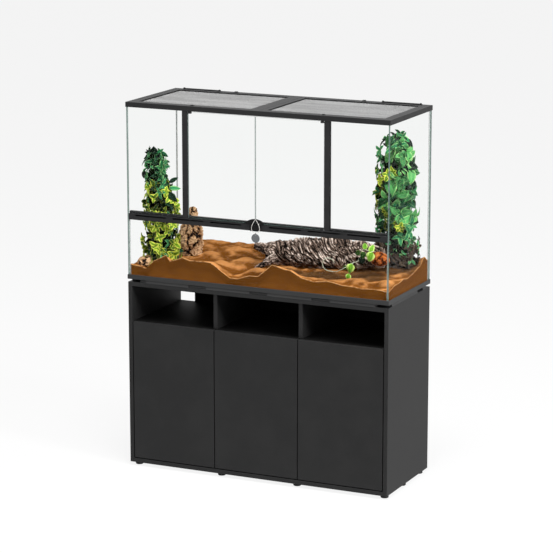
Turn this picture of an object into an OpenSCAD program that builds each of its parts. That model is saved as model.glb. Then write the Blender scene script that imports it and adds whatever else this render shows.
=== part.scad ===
// Terrarium cabinet: a stand with three open niches above three flush doors,
// and on it a front-opening glass terrarium with a planted landscape.
// Millimetres, +Z up, front towards -Y, origin on the floor at the centre of
// the stand's footprint.

/* [Cabinet] */
// Outer width of the stand
cabinet_w = 1200; // [1100:10:1300]
// Outer depth of the stand
cabinet_d = 455; // [440:1:500]
// Height of the stand without its feet
cabinet_h = 798; // [760:1:840]
// Thickness of the boards
board_t = 18; // [18:0.5:20]
// Clear height of the open niches
niche_h = 154; // [120:1:180]
// Gap round the doors and between them
door_gap = 4; // [3.6:0.1:5]
// How far dividers and deck stand back behind the doors' front face
setback = 23; // [23:0.5:30]
// Thickness of the back board
back_t = 6; // [3:0.5:8]
// Width of the cable cut-out in the left niche
cable_cut_w = 74; // [50:1:100]
// Height of the cable cut-out above the deck
cable_cut_h = 74; // [40:1:100]
// Height of the feet
foot_h = 16; // [12:1:30]
// Diameter of the feet
foot_dia = 34; // [28:1:40]
// Height of the loose shelves above the floor
shelf_z = 320; // [280:1:360]

/* [Door hinges] */
// Pin position from the door's hinge edge
pin_edge = 10; // [9.5:0.5:11]
// Pin position from the door's front face
pin_front = 8.5; // [8.5:0.5:9]
// Reach of the cranked arm round the door's edge
arm_reach = 16.5; // [16:0.5:17]
// Radius of the hinge pin
pin_r = 1.5; // [1.4:0.1:1.6]
// Radial running clearance of the pins
run_gap = 0.05; // [0.03:0.01:0.08]
// Radius of the cup's bore in the door
cup_r = 17.5; // [17.5:0.1:18]

/* [Terrarium] */
// Height from the stand's top to the top of the terrarium's frame
tank_h = 772.5; // [700:0.5:820]
// Height of the risers under the base frame
riser_h = 12.5; // [8:0.5:20]
// Height of the base frame's rim
rim_h = 19.5; // [18:0.5:25]
// How far the frames stand out past the stand
frame_over = 1.5; // [0.5:0.1:3]
// Height of the top frame
frame_h = 21.5; // [20:0.5:26]
// Thickness of the fixed panes
glass_t = 6; // [5:0.5:8]
// Thickness of the door panes and the narrow front panes
door_glass_t = 5; // [4:0.5:6]
// Height of the lower edge of the vent rail
rail_z = 1085; // [1050:1:1120]
// Height of the vent rail behind the door glass
rail_h = 36; // [34:1:40]
// Height of the vent rail's front face, below the door glass
rail_face_h = 27; // [26:0.5:28]
// Depth of the vent rail
rail_d = 24; // [22:1:30]
// Width of a post
post_w = 24; // [22:1:30]
// Distance of each post's centre from the middle
post_x = 324; // [300:1:360]
// Length of a vent slot
slot_w = 145; // [100:1:150]
// Height of a vent slot
slot_h = 6.5; // [4:0.5:7]

/* [Lids] */
// Width of the lid's border
lid_border = 24; // [18:1:28]
// Height of the lid's border
lid_h = 6.5; // [5.5:0.1:6.6]
// Width of the wires drawn in the mesh
wire_w = 2; // [1:0.2:3]
// Length of a cable cover on the rear rail
cover_w = 178; // [160:1:180]

/* [Landscape] */
// Level of the sand at the front pane
sand_front_z = 884; // [870:1:900]
// Rise of the sand from the front pane to the back pane
sand_rise = 48; // [20:1:60]

/* [Hidden] */
$fn = 48;
eps = 0.01;

// colours of the photographed finishes
black_board = "#303030";
black_inside = "#1c1c1c";
black_plastic = "#2b2b2b";
steel = "#a8a8a8";
glass_tint = [0.80, 0.88, 0.86, 0.35];

// stand
half_w = cabinet_w / 2;
half_d = cabinet_d / 2;
front_y = -half_d;
stand_top = foot_h + cabinet_h;
floor_z = foot_h + board_t;
deck_top = stand_top - board_t - niche_h;
deck_z = deck_top - board_t;
bay_w = (cabinet_w - 4 * board_t) / 3;
divider_x = bay_w / 2 + board_t / 2;
back_y = half_d - 10;
inner_front = front_y + setback;

// doors: three equal leaves between the side boards
opening_w = cabinet_w - 2 * board_t;
door_w = (opening_w - 4 * door_gap) / 3;
door_z = floor_z + door_gap;
door_h = deck_top - 1 - door_z;
door_t = 18;
door_pitch = door_w + door_gap;
hinge_heights = [door_z + 90, door_z + door_h - 90];
arm_t = 2;
arm_w = 13;
cup_wall = 1.2;
plate_t = 3;

// push latches
latch_z = deck_z - 8;
plunger_r = 4;

// terrarium
frame_half_w = half_w + frame_over;
frame_half_d = half_d + frame_over;
glass_inset = 2.5;
glass_half_w = frame_half_w - glass_inset;
glass_half_d = frame_half_d - glass_inset;
rim_z = stand_top + riser_h;
ledge_t = 5.5;
glass_z = rim_z + ledge_t;
tank_top = stand_top + tank_h;
frame_z = tank_top - frame_h;
rail_top = rail_z + rail_h;
rail_step_z = rail_z + rail_face_h;
upstand_s = 9;
rail_half = glass_half_w - glass_t - 1;
frame_groove = 12;

// glass doors
door_edge_gap = 2.5;
leaf_gap = 1.5;
leaf_out = post_x - post_w / 2 - door_edge_gap;
pivot_x = leaf_out - 6;
pivot_y = -frame_half_d + 6;
leaf_z = rail_step_z + 3;
leaf_h = frame_z - 3 - leaf_z;
shoe_r = 4.5;
shoe_l = 15;
shoe_h = 9;
glass_pin_r = 2.5;

// lids
ledge_down = 7;
pocket_s = 17;
centre_bar = 26;
lid_gap = 0.5;
pocket_out = frame_half_w - pocket_s;
pocket_d = 2 * (frame_half_d - pocket_s);
pocket_w = pocket_out - centre_bar / 2;
pocket_x = (pocket_out + centre_bar / 2) / 2;
lid_z = tank_top - ledge_down + 0.3;
clip_h = 3.5;

// ---------------------------------------------------------------- helpers

// board with its four front edges eased, front face at y = 0
module eased_board(w, t, h, ease = 0.8) {
  intersection() {
    linear_extrude(h)
      polygon([[ease, 0], [w - ease, 0], [w, ease], [w, t], [0, t], [0, ease]]);
    translate([w, 0, 0])
      rotate([0, -90, 0])
        linear_extrude(w)
          polygon([[ease, 0], [h - ease, 0], [h, ease], [h, t], [0, t], [0, ease]]);
  }
}

// one side of a mitred ring; children: profile with x inwards and y upwards
module mitred_side(len, reach = 40) {
  intersection() {
    rotate([90, 0, 90])
      linear_extrude(len, center = true)
        children();
    translate([0, 0, -30])
      linear_extrude(80)
        polygon([[-len / 2, 0], [len / 2, 0], [len / 2 - reach, reach], [-len / 2 + reach, reach]]);
  }
}

// mitred ring of outer size w by d round the origin
module mitred_ring(w, d) {
  for (turn = [0, 180])
    rotate(turn)
      translate([0, -d / 2, 0])
        mitred_side(w)
          children();
  for (turn = [90, 270])
    rotate(turn)
      translate([0, -w / 2, 0])
        mitred_side(d)
          children();
}

// children and their mirror image on the other side of the middle plane
module both_sides() {
  children();
  mirror([1, 0, 0])
    children();
}

// side triangles of a loft with m rings of n points, ring after ring
function loft_sides(m, n, closed = false) = [
  for (i = [0:m - (closed ? 1 : 2)], j = [0:n - 1], half = [0, 1])
    let (a = i * n + j, b = i * n + (j + 1) % n)
    let (c = ((i + 1) % m) * n + j, d = ((i + 1) % m) * n + (j + 1) % n)
      half == 0 ? [a, c, b] : [b, c, d]
];

function ring_centre(ring) =
  [for (k = [0:2]) [for (p = ring) p[k]] * [for (p = ring) 1] / len(ring)];

// solid through a list of rings, closed by a fan at each end
module loft(rings) {
  m = len(rings);
  n = len(rings[0]);
  points = concat([for (r = rings, p = r) p], [ring_centre(rings[0]), ring_centre(rings[m - 1])]);
  first_fan = [for (j = [0:n - 1]) [m * n, j, (j + 1) % n]];
  last_fan = [for (j = [0:n - 1]) [m * n + 1, (m - 1) * n + (j + 1) % n, (m - 1) * n + j]];
  polyhedron(points, concat(loft_sides(m, n), first_fan, last_fan));
}

// rings of a round wire along points that nowhere run straight along y
function wire_rings(path, r, sides, closed) = [
  for (i = [0:len(path) - 1])
    let (last = len(path) - 1)
    let (before = path[closed ? (i + last) % (last + 1) : max(i - 1, 0)])
    let (after = path[closed ? (i + 1) % (last + 1) : min(i + 1, last)])
    let (run = (after - before) / norm(after - before))
    let (out = [-run[2], 0, run[0]] / norm([run[2], run[0]]))
    let (side = cross(run, out))
      [for (j = [0:sides - 1])
        path[i] + r * (cos(j * 360 / sides) * out + sin(j * 360 / sides) * side)]
];

// flat grid of square gaps, bars bar_w wide, its lower left corner at the origin
module net(w, d, columns, rows, bar_w) {
  pitch_x = (w - bar_w) / columns;
  pitch_y = (d - bar_w) / rows;
  difference() {
    square([w, d]);
    for (i = [0:columns - 1], j = [0:rows - 1])
      translate([bar_w + i * pitch_x, bar_w + j * pitch_y])
        square([pitch_x - bar_w, pitch_y - bar_w]);
  }
}

// ---------------------------------------------------------------- stand

module shelf_pin_holes(depth) {
  for (y = [-150, 150], k = [-2:2])
    translate([0, y, shelf_z - 2.5 + 32 * k])
      rotate([0, 90, 0])
        cylinder(r = 2.55, h = depth, center = true);
}

module cabinet_side() {
  color(black_board)
    difference() {
      translate([-half_w, front_y, foot_h])
        eased_board(board_t, cabinet_d, cabinet_h);
      translate([-half_w + board_t, 0, 0])
        shelf_pin_holes(2 * 9);
    }
}

module cabinet_left_side() {
  cabinet_side();
}

module cabinet_right_side() {
  mirror([1, 0, 0])
    cabinet_side();
}

module cabinet_top() {
  color(black_board)
    translate([-opening_w / 2, front_y, stand_top - board_t])
      eased_board(opening_w, cabinet_d, board_t);
}

module cabinet_bottom() {
  color(black_board)
    translate([-opening_w / 2, front_y, foot_h])
      eased_board(opening_w, cabinet_d, board_t);
}

module middle_deck() {
  color(black_inside)
    translate([-opening_w / 2, inner_front, deck_z])
      eased_board(opening_w, back_y - inner_front, board_t);
}

module upright(x, z, h) {
  translate([x - board_t / 2, inner_front, z])
    eased_board(board_t, back_y - inner_front, h);
}

module niche_divider_left() {
  color(black_board)
    upright(-divider_x, deck_top, niche_h);
}

module niche_divider_right() {
  color(black_board)
    upright(divider_x, deck_top, niche_h);
}

module lower_divider(x) {
  color(black_inside)
    difference() {
      upright(x, floor_z, deck_z - floor_z);
      translate([x, 0, 0])
        shelf_pin_holes(board_t + 2);
    }
}

module lower_divider_left() {
  lower_divider(-divider_x);
}

module lower_divider_right() {
  lower_divider(divider_x);
}

module cabinet_back() {
  color(black_inside)
    difference() {
      translate([-opening_w / 2, back_y, floor_z])
        cube([opening_w, back_t, stand_top - board_t - floor_z]);
      translate([-opening_w / 2 - 1, back_y - 1, deck_top])
        cube([cable_cut_w + 1, back_t + 2, cable_cut_h]);
    }
}

module cabinet_feet() {
  color(black_plastic)
    for (x = [-575, -177, 177, 575], y = [-190, 0, 190])
      translate([x, y, 0])
        rotate_extrude()
          polygon([
            [0, 0], [foot_dia / 2 - 2, 0], [foot_dia / 2, 2], [foot_dia / 2, foot_h - 8],
            [foot_dia / 2 - 3, foot_h - 6], [10, foot_h - 6], [10, foot_h], [0, foot_h]
          ]);
}

module loose_shelf(x) {
  shelf_d = back_y - 2 + 185;
  color(black_inside)
    translate([x - bay_w / 2 + 1, -185, shelf_z])
      eased_board(bay_w - 2, shelf_d, board_t);
}

module shelf_left() {
  loose_shelf(-divider_x - board_t / 2 - bay_w / 2);
}

module shelf_middle() {
  loose_shelf(0);
}

module shelf_right() {
  loose_shelf(divider_x + board_t / 2 + bay_w / 2);
}

// steel pin with a round shoulder, pushed into a hole of the pin row
module shelf_pin() {
  rotate([0, 90, 0]) {
    translate([0, 0, -8.5])
      cylinder(r = 2.5, h = 16.5);
    cylinder(r = 4, h = 0.9);
  }
}

module shelf_pins() {
  color(steel)
    for (y = [-150, 150])
      both_sides()
        translate([0, y, shelf_z - 4]) {
          translate([-half_w + board_t, 0, 1.5])
            shelf_pin();
          translate([-divider_x - board_t / 2, 0, 1.5])
            mirror([1, 0, 0])
              shelf_pin();
          translate([-divider_x + board_t / 2, 0, 1.5])
            shelf_pin();
        }
}

// ---------------------------------------------------------------- doors

// left edges of the doors, and the middles of their latches
door_left_x = -opening_w / 2 + door_gap;
door_x = [door_left_x, door_left_x + door_pitch, door_left_x + 2 * door_pitch];
latch_x = [door_x[0] + door_w - 34, door_x[1] + door_w - 34, door_x[2] + 34];

// places children in a door's own frame: x from its hinge edge along the
// door, y from its front face inwards, z up from the floor
module at_hinge_edge(index) {
  if (index == 2)
    translate([door_x[2] + door_w, front_y, 0])
      mirror([1, 0, 0])
        children();
  else
    translate([door_x[index], front_y, 0])
      children();
}

module door_leaf(index) {
  color(black_board)
    at_hinge_edge(index)
      difference() {
        translate([0, 0, door_z])
          eased_board(door_w, door_t, door_h);
        for (z = hinge_heights)
          translate([pin_edge + 11.5, 4, z])
            rotate([-90, 0, 0])
              cylinder(r = cup_r, h = door_t);
      }
}

module door_left() {
  door_leaf(0);
}

module door_middle() {
  door_leaf(1);
}

module door_right() {
  door_leaf(2);
}

// pressed cup with its flange, the riveted pin inside it and two screws
module hinge_cup() {
  cup_out = cup_r - 0.1;
  cup_in = cup_out - cup_wall;
  centre = pin_edge + 11.5;
  difference() {
    union() {
      translate([centre, 4.1, 0])
        rotate([-90, 0, 0])
          cylinder(r = cup_out, h = door_t - 4.1 + 0.5);
      intersection() {
        translate([centre, door_t, 0])
          rotate([-90, 0, 0])
            cylinder(r = cup_r + 1.5, h = 1.2);
        translate([centre - 20, door_t, -30])
          cube([40, 2, 60]);
      }
      translate([centre - 6, door_t, -32])
        cube([12, 1.2, 64]);
    }
    translate([centre, 5, 0])
      rotate([-90, 0, 0])
        cylinder(r = cup_in, h = door_t);
  }
  translate([pin_edge, pin_front, 0])
    cylinder(r = pin_r, h = 2 * 12, center = true);
  for (z = [-26, 26])
    translate([centre, door_t + 1.2, z])
      rotate([-90, 0, 0])
        cylinder(r1 = 4, r2 = 3, h = 1);
}

module door_fittings(index) {
  color(steel) {
    at_hinge_edge(index)
      for (z = hinge_heights)
        translate([0, 0, z])
          hinge_cup();
    translate([latch_x[index], front_y + door_t, latch_z])
      rotate([-90, 0, 0])
        cylinder(r = 8, h = 1);
  }
}

module door_left_fittings() {
  door_fittings(0);
}

module door_middle_fittings() {
  door_fittings(1);
}

module door_right_fittings() {
  door_fittings(2);
}

// cranked steel arm: eye on the pin, hook out of the cup and round the
// door's edge, then along the mounting plate on the board
module hinge_arm(board_u) {
  half = arm_t / 2;
  run_u = board_u + plate_t + half;
  crank_u = pin_edge + arm_reach;
  crank_w = pin_front + arm_reach;
  difference() {
    translate([0, 0, -arm_w / 2])
      linear_extrude(arm_w)
        difference() {
          union() {
            translate([pin_edge, pin_front])
              circle(r = 2.8);
            translate([pin_edge, pin_front - half])
              square([arm_reach + half, arm_t]);
            translate([crank_u - half, pin_front - half])
              square([arm_t, arm_reach + arm_t]);
            translate([run_u - half, crank_w - half])
              square([crank_u - run_u + arm_t, arm_t]);
            translate([run_u - half, crank_w - half])
              square([arm_t, 62]);
          }
          translate([pin_edge, pin_front])
            circle(r = pin_r + run_gap);
        }
    translate([run_u, crank_w + 44, 0])
      rotate([0, 90, 0])
        cylinder(r = 2.2, h = 10, center = true);
  }
  translate([board_u, crank_w + 10, -18])
    cube([plate_t, 44, 36]);
  translate([run_u + half, crank_w + 24, 0])
    rotate([0, 90, 0])
      cylinder(r1 = 4.5, r2 = 3.8, h = 2);
}

module hinge_arms() {
  color(steel)
    for (index = [0:2], z = hinge_heights)
      at_hinge_edge(index)
        translate([0, 0, z])
          hinge_arm(index == 1 ? bay_w / -2 - door_x[1] : -door_gap);
}

// push latches under the deck: housing with a blind bore for the plunger
module push_latches() {
  color(black_plastic)
    for (x = latch_x)
      difference() {
        union() {
          translate([x - 7, front_y + 27.5, latch_z - 7])
            cube([14, 70, deck_z - latch_z + 7]);
          translate([x - 16, front_y + 45, deck_z - 2.5])
            cube([32, 36, 2.5]);
        }
        translate([x, front_y + 20, latch_z])
          rotate([-90, 0, 0])
            cylinder(r = plunger_r + 2 * run_gap - 0.02, h = 60);
      }
}

module plunger(index) {
  tip_y = front_y + door_t + 1 + 0.4;
  color("#d8d8d8")
    translate([latch_x[index], tip_y, latch_z])
      rotate([-90, 0, 0])
        rotate_extrude()
          polygon([[0, 0], [4.5, 0], [5.5, 1], [5.5, 3], [plunger_r, 3], [plunger_r, 50], [0, 50]]);
}

module plunger_left() {
  plunger(0);
}

module plunger_middle() {
  plunger(1);
}

module plunger_right() {
  plunger(2);
}

// ---------------------------------------------------------------- base frame

// moulded rim: outer wall with its upper edge chamfered, ledge for the glass
module rim_profile() {
  polygon([
    [0.6, 0], [0, 0.6], [0, rim_h - 1.6], [1.6, rim_h], [glass_inset - 0.2, rim_h],
    [glass_inset - 0.2, ledge_t], [16, ledge_t], [16, 0]
  ]);
}

// long riser under the rim, leaning back, its right end cut on the slant
module riser(len) {
  translate([0, 0, -riser_h])
    intersection() {
      rotate([90, 0, 90])
        linear_extrude(len, center = true)
          polygon([[0.8, 0], [4, riser_h + eps], [16, riser_h + eps], [16, 0]]);
      linear_extrude(riser_h + 1)
        polygon([[-len / 2, 0], [len / 2 - 12, 0], [len / 2, 12], [len / 2, 30], [-len / 2, 30]]);
    }
}

// low skirt behind the gaps of the front and rear risers, with a slit above it
module skirt(len) {
  skirt_h = riser_h - 4;
  translate([0, 0, -riser_h])
    rotate([90, 0, 90])
      linear_extrude(len, center = true)
        polygon([[8, 0], [10, skirt_h], [14, skirt_h], [14, 0]]);
}

module base_frame() {
  long_riser = 207;
  side_riser = 290;
  short_riser = 44;
  color(black_plastic)
    translate([0, 0, rim_z]) {
      mitred_ring(2 * frame_half_w, 2 * frame_half_d)
        rim_profile();
      for (turn = [0, 180])
        rotate(turn)
          translate([0, -frame_half_d, 0]) {
            for (x = [-410, -126, 158, 442])
              translate([x, 0, 0])
                riser(long_riser);
            skirt(1090);
          }
      both_sides()
        rotate(90)
          translate([0, -frame_half_w, 0]) {
            translate([-45, 0, 0])
              riser(side_riser);
            translate([172, 0, 0])
              riser(short_riser);
          }
    }
}

// ---------------------------------------------------------------- glass

module pane(low, size) {
  color(glass_tint)
    translate(low)
      cube(size);
}

module base_pane() {
  inner_w = glass_half_w - glass_t - 0.2;
  inner_d = glass_half_d - glass_t - 0.2;
  pane([-inner_w, -inner_d, glass_z], [2 * inner_w, 2 * inner_d, glass_t]);
}

module side_pane() {
  pane(
    [-glass_half_w, -glass_half_d, glass_z],
    [glass_t, 2 * glass_half_d, frame_z + frame_groove - glass_z]
  );
}

module left_pane() {
  side_pane();
}

module right_pane() {
  mirror([1, 0, 0])
    side_pane();
}

module back_pane() {
  inner_w = glass_half_w - glass_t - 0.2;
  pane(
    [-inner_w, glass_half_d - glass_t, glass_z],
    [2 * inner_w, glass_t, frame_z + frame_groove - glass_z]
  );
}

module front_lower_pane() {
  inner_w = glass_half_w - glass_t - 0.2;
  pane([-inner_w, -glass_half_d, glass_z], [2 * inner_w, glass_t, rail_z + 6 - glass_z]);
}

module narrow_pane() {
  left = -glass_half_w + glass_t + 0.2;
  pane(
    [left, -glass_half_d, rail_step_z - 1.5],
    [-post_x - post_w / 2 + 6 - left, door_glass_t, frame_z + frame_groove - rail_step_z + 1.5]
  );
}

module front_left_pane() {
  narrow_pane();
}

module front_right_pane() {
  mirror([1, 0, 0])
    narrow_pane();
}

// ---------------------------------------------------------------- front rail

rail_wall = 3;
rail_floor = 9;
lip_h = 20;

// hollow rail, open to the inside: front wall, floor with the groove for the
// lower pane and a lip at its rear, and an upstand behind the door glass
module rail_profile() {
  groove_s = glass_inset - 0.1;
  step_s = upstand_s + rail_wall;
  step_h = rail_face_h - rail_wall;
  roof_h = rail_h - rail_wall;
  polygon([
    [0.8, 0], [groove_s, 0], [groove_s, 6.2], [groove_s + glass_t + 0.2, 6.2],
    [groove_s + glass_t + 0.2, 0], [rail_d - 1, 0], [rail_d, 1], [rail_d, lip_h],
    [rail_d - rail_wall, lip_h], [rail_d - rail_wall, rail_floor], [rail_wall, rail_floor],
    [rail_wall, step_h], [step_s, step_h], [step_s, roof_h], [rail_d, roof_h],
    [rail_d, rail_h - 1], [rail_d - 1, rail_h], [upstand_s + 0.8, rail_h],
    [upstand_s, rail_h - 0.8], [upstand_s, rail_face_h], [0.8, rail_face_h],
    [0, rail_face_h - 0.8], [0, 0.8]
  ]);
}

slot_centres = [136, 311, 488];
slot_up = 16;

module vent_rail() {
  bar_half = 15;
  color(black_plastic)
    difference() {
      union() {
        translate([0, -frame_half_d, rail_z])
          rotate([90, 0, 90])
            linear_extrude(2 * rail_half, center = true)
              rail_profile();
        both_sides() {
          // end cap
          translate([-rail_half, -frame_half_d, rail_z + 7])
            cube([8, rail_d, rail_face_h - 8]);
          // ribs beside the slots, and the boss under the door's pin
          for (x = [-399.5, -223.5, -46])
            translate([x - bar_half, -frame_half_d + 2, rail_z + 8])
              cube([2 * bar_half, rail_d - 6, rail_face_h - 10]);
          translate([-pivot_x, pivot_y, rail_step_z - 13])
            cylinder(r = 5, h = 12);
        }
      }
      both_sides() {
        for (x = slot_centres) {
          translate([-x - slot_w / 2, -frame_half_d - 1, rail_z + slot_up])
            cube([slot_w, 6, slot_h]);
          // three small ribs' ends above the slot
          for (k = [-1:1])
            translate([-x + k * slot_w / 3 - 1.5, -frame_half_d - 1, rail_z + slot_up + 7.2])
              cube([3, 2, 1.6]);
        }
        // pairs of square marks between the slots
        for (x = [-399.5, -223.5], k = [-6, 6])
          translate([x + k - 2.5, -frame_half_d - 1, rail_z + slot_up + 1])
            cube([5, 1.8, 5]);
        translate([-pivot_x, pivot_y, rail_step_z - 12])
          cylinder(r = glass_pin_r + run_gap, h = 20);
        // room in the upstand for the hinge shoe as it turns
        translate([-pivot_x - 8.5, -frame_half_d + upstand_s - 0.1, rail_step_z])
          cube([shoe_l + 4, 6, rail_h]);
        translate([-rail_half - 1, -glass_half_d - 0.1, rail_step_z - 1.6])
          cube([rail_half + 1 - post_x - post_w / 2 + 7, door_glass_t + 0.2, 5]);
      }
    }
}

// perforated strip that closes the rail's inner side above the lip
module vent_gauze() {
  strip_half = rail_half - 9;
  color("#555555")
    translate([-strip_half, -frame_half_d + rail_d - rail_wall / 2, rail_z + lip_h])
      rotate([90, 0, 0])
        linear_extrude(1, center = true)
          net(2 * strip_half, rail_h - rail_wall - lip_h, 60, 1, 2.5);
}

// section of a post, with a rebate on its outer side for the narrow pane
module post_section(depth) {
  difference() {
    translate([-post_x - post_w / 2, -frame_half_d + 1.5])
      square([post_w, depth]);
    translate([-post_x - post_w / 2 - 1, -glass_half_d - 0.1])
      square([7.2, door_glass_t + 0.2]);
  }
}

// post on the rail, its front part reaching down to the rail's step
module post() {
  color(black_plastic) {
    translate([0, 0, rail_top])
      linear_extrude(frame_z - rail_top)
        post_section(14);
    translate([0, 0, rail_step_z])
      linear_extrude(rail_h - rail_face_h + eps)
        post_section(upstand_s - 1.5);
  }
}

module left_post() {
  post();
}

module right_post() {
  mirror([1, 0, 0])
    post();
}

// ---------------------------------------------------------------- top frame

module top_profile() {
  polygon([
    [0, 0.6], [0, frame_h - 1.2], [1.2, frame_h], [pocket_s, frame_h],
    [pocket_s, frame_h - ledge_down], [pocket_s + 13, frame_h - ledge_down],
    [pocket_s + 13, 0], [0.6, 0]
  ]);
}

slot_far = 545;
slot_near = 395;
cover_s = 3.2;
cable_slot_s = 9.4;
cable_slot_w = 6;

module top_frame() {
  color(black_plastic)
    difference() {
      union() {
        translate([0, 0, frame_z])
          mitred_ring(2 * frame_half_w, 2 * frame_half_d)
            top_profile();
        translate([-25, -frame_half_d + pocket_s, frame_z])
          cube([50, pocket_d, frame_h - ledge_down]);
        translate([-centre_bar / 2, -frame_half_d + pocket_s - 1, frame_z])
          cube([centre_bar, pocket_d + 2, frame_h]);
      }
      // grooves for the side panes, the back pane and the narrow front panes
      both_sides() {
        translate([-glass_half_w - 0.1, -glass_half_d - 0.1, frame_z - 1])
          cube([glass_t + 0.2, 2 * glass_half_d + 0.2, frame_groove + 1.1]);
        translate([-glass_half_w, -glass_half_d - 0.1, frame_z - 1])
          cube([
            glass_half_w - post_x - post_w / 2 + 6.2,
            door_glass_t + 0.2,
            frame_groove + 1.1
          ]);
        translate([-pivot_x, pivot_y, frame_z - 1])
          cylinder(r = glass_pin_r + run_gap, h = 11);
        // cable slot through the rear rail
        translate([-slot_far, frame_half_d - cable_slot_s - cable_slot_w, frame_z - 1])
          cube([slot_far - slot_near, cable_slot_w, frame_h + 2]);
      }
      translate([-glass_half_w, glass_half_d - glass_t - 0.1, frame_z - 1])
        cube([2 * glass_half_w, glass_t + 0.2, frame_groove + 1.1]);
    }
}

// sliding cover over a cable slot, with a keel in the slot and end knobs
module cable_cover() {
  low_x = -556;
  cover_d = 13;
  keel_x = -500;
  color("#3a3a3a") {
    translate([low_x, frame_half_d - cover_s - cover_d, tank_top + 0.3]) {
      translate([0, cover_d, 0])
        rotate([90, 0, 0])
          linear_extrude(cover_d)
            polygon([[0, 0], [cover_w, 0], [cover_w, 2], [cover_w - 2, 3], [2, 3], [0, 2]]);
      for (x = [4, cover_w - 4])
        translate([x, cover_d / 2, 0])
          cylinder(r = 4, h = 5.5);
    }
    translate([keel_x, frame_half_d - cable_slot_s - cable_slot_w + 0.3, tank_top - 8])
      cube([38, cable_slot_w - 0.6, 8.6]);
  }
}

module cable_cover_left() {
  cable_cover();
}

module cable_cover_right() {
  mirror([1, 0, 0])
    cable_cover();
}

// ---------------------------------------------------------------- lids

module lid_frame() {
  lid_w = pocket_w - 2 * lid_gap;
  lid_d = pocket_d - 2 * lid_gap;
  color(black_plastic)
    translate([-pocket_x, 0, lid_z]) {
      mitred_ring(lid_w, lid_d)
        polygon([
          [0, 0], [0, lid_h - 0.6], [0.6, lid_h], [lid_border - 0.8, lid_h],
          [lid_border, lid_h - 0.8], [lid_border, 0]
        ]);
      // finger clip on the front border, and hook on the rear one over the frame
      translate([0, -lid_d / 2 + 2, lid_h])
        rotate([90, 0, 90])
          linear_extrude(12, center = true)
            polygon([[0, 0], [0, clip_h - 1], [1, clip_h], [4, clip_h], [8, 0]]);
      translate([0, lid_d / 2 - 2, lid_h])
        rotate([90, 0, 90])
          linear_extrude(12, center = true)
            polygon([
              [-8, 0], [-1, 0], [-1, 0.6], [11, 0.6], [11, clip_h], [10, clip_h + 0.8],
              [-3, clip_h + 0.8]
            ]);
    }
}

// wire mesh, drawn as an open grid that fills the lid's window
module lid_mesh() {
  mesh_w = pocket_w - 2 * lid_gap - 2 * lid_border;
  mesh_d = pocket_d - 2 * lid_gap - 2 * lid_border;
  color("#b4b4b4")
    translate([-pocket_x - mesh_w / 2, -mesh_d / 2, lid_z + 0.2])
      linear_extrude(0.8)
        net(mesh_w, mesh_d, 16, 12, wire_w);
}

module lid_left_frame() {
  lid_frame();
}

module lid_left_mesh() {
  lid_mesh();
}

module lid_right_frame() {
  mirror([1, 0, 0])
    lid_frame();
}

module lid_right_mesh() {
  mirror([1, 0, 0])
    lid_mesh();
}

// ---------------------------------------------------------------- glass doors

module glass_leaf() {
  pane(
    [-leaf_out, pivot_y - door_glass_t / 2, leaf_z],
    [leaf_out - leaf_gap, door_glass_t, leaf_h]
  );
}

module glass_door_left() {
  glass_leaf();
}

module glass_door_right() {
  mirror([1, 0, 0])
    glass_leaf();
}

// shoe that clasps a corner of the pane, with its pin; z = 0 is the pane's edge
module hinge_shoe() {
  difference() {
    translate([0, 0, -2])
      linear_extrude(shoe_h)
        union() {
          circle(r = shoe_r);
          translate([0, -shoe_r])
            square([shoe_l - 6, 2 * shoe_r]);
        }
    translate([-6 - 0.1, -door_glass_t / 2 - 0.1, 0])
      cube([shoe_l + 1, door_glass_t + 0.2, shoe_h]);
  }
  translate([0, 0, -11])
    cylinder(r = glass_pin_r, h = 9 + eps);
}

module hinge_shoes() {
  color(black_plastic) {
    translate([-pivot_x, pivot_y, leaf_z])
      hinge_shoe();
    translate([-pivot_x, pivot_y, leaf_z + leaf_h])
      mirror([0, 0, 1])
        hinge_shoe();
  }
}

module glass_door_left_hinges() {
  hinge_shoes();
}

module glass_door_right_hinges() {
  mirror([1, 0, 0])
    hinge_shoes();
}

// leaf-shaped grip: a plate under a shallow arc with a foot below the pane
grip_half = 41;
grip_h = 22;
grip_rise = 14;
grip_z = rail_step_z + 1;

module grip() {
  arc_r = (grip_half * grip_half + grip_rise * grip_rise) / (2 * grip_rise);
  color(black_plastic)
    difference() {
      translate([0, -frame_half_d + upstand_s - 0.4, grip_z])
        rotate([90, 0, 0])
          linear_extrude(13.1)
            intersection() {
              translate([0, grip_h - arc_r])
                circle(r = arc_r, $fn = 96);
              polygon([
                [4 - grip_half, 0], [-15, 0], [-2, 15], [-2, grip_h + 1],
                [-grip_half, grip_h + 1], [-grip_half, 5]
              ]);
            }
      translate([-leaf_out, pivot_y - door_glass_t / 2 - 0.1, leaf_z - 0.1])
        cube([leaf_out, door_glass_t + 1, 40]);
    }
}

module grip_left() {
  grip();
}

// right grip, with the peg that carries the wire loop
loop_x = 8.5;
loop_y = -frame_half_d - 12;
loop_top = rail_top + 15;
wire_r = 1.2;
peg_r = 1.2;
peg_z = loop_top - 4.4;

module grip_right() {
  grip_front = -frame_half_d - 4.5;
  mirror([1, 0, 0])
    grip();
  color(black_plastic)
    translate([loop_x, grip_front + 1, peg_z])
      rotate([90, 0, 0]) {
        cylinder(r = peg_r, h = 11);
        translate([0, 0, 11])
          cylinder(r1 = 2.6, r2 = 2, h = 1.2);
      }
}

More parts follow.
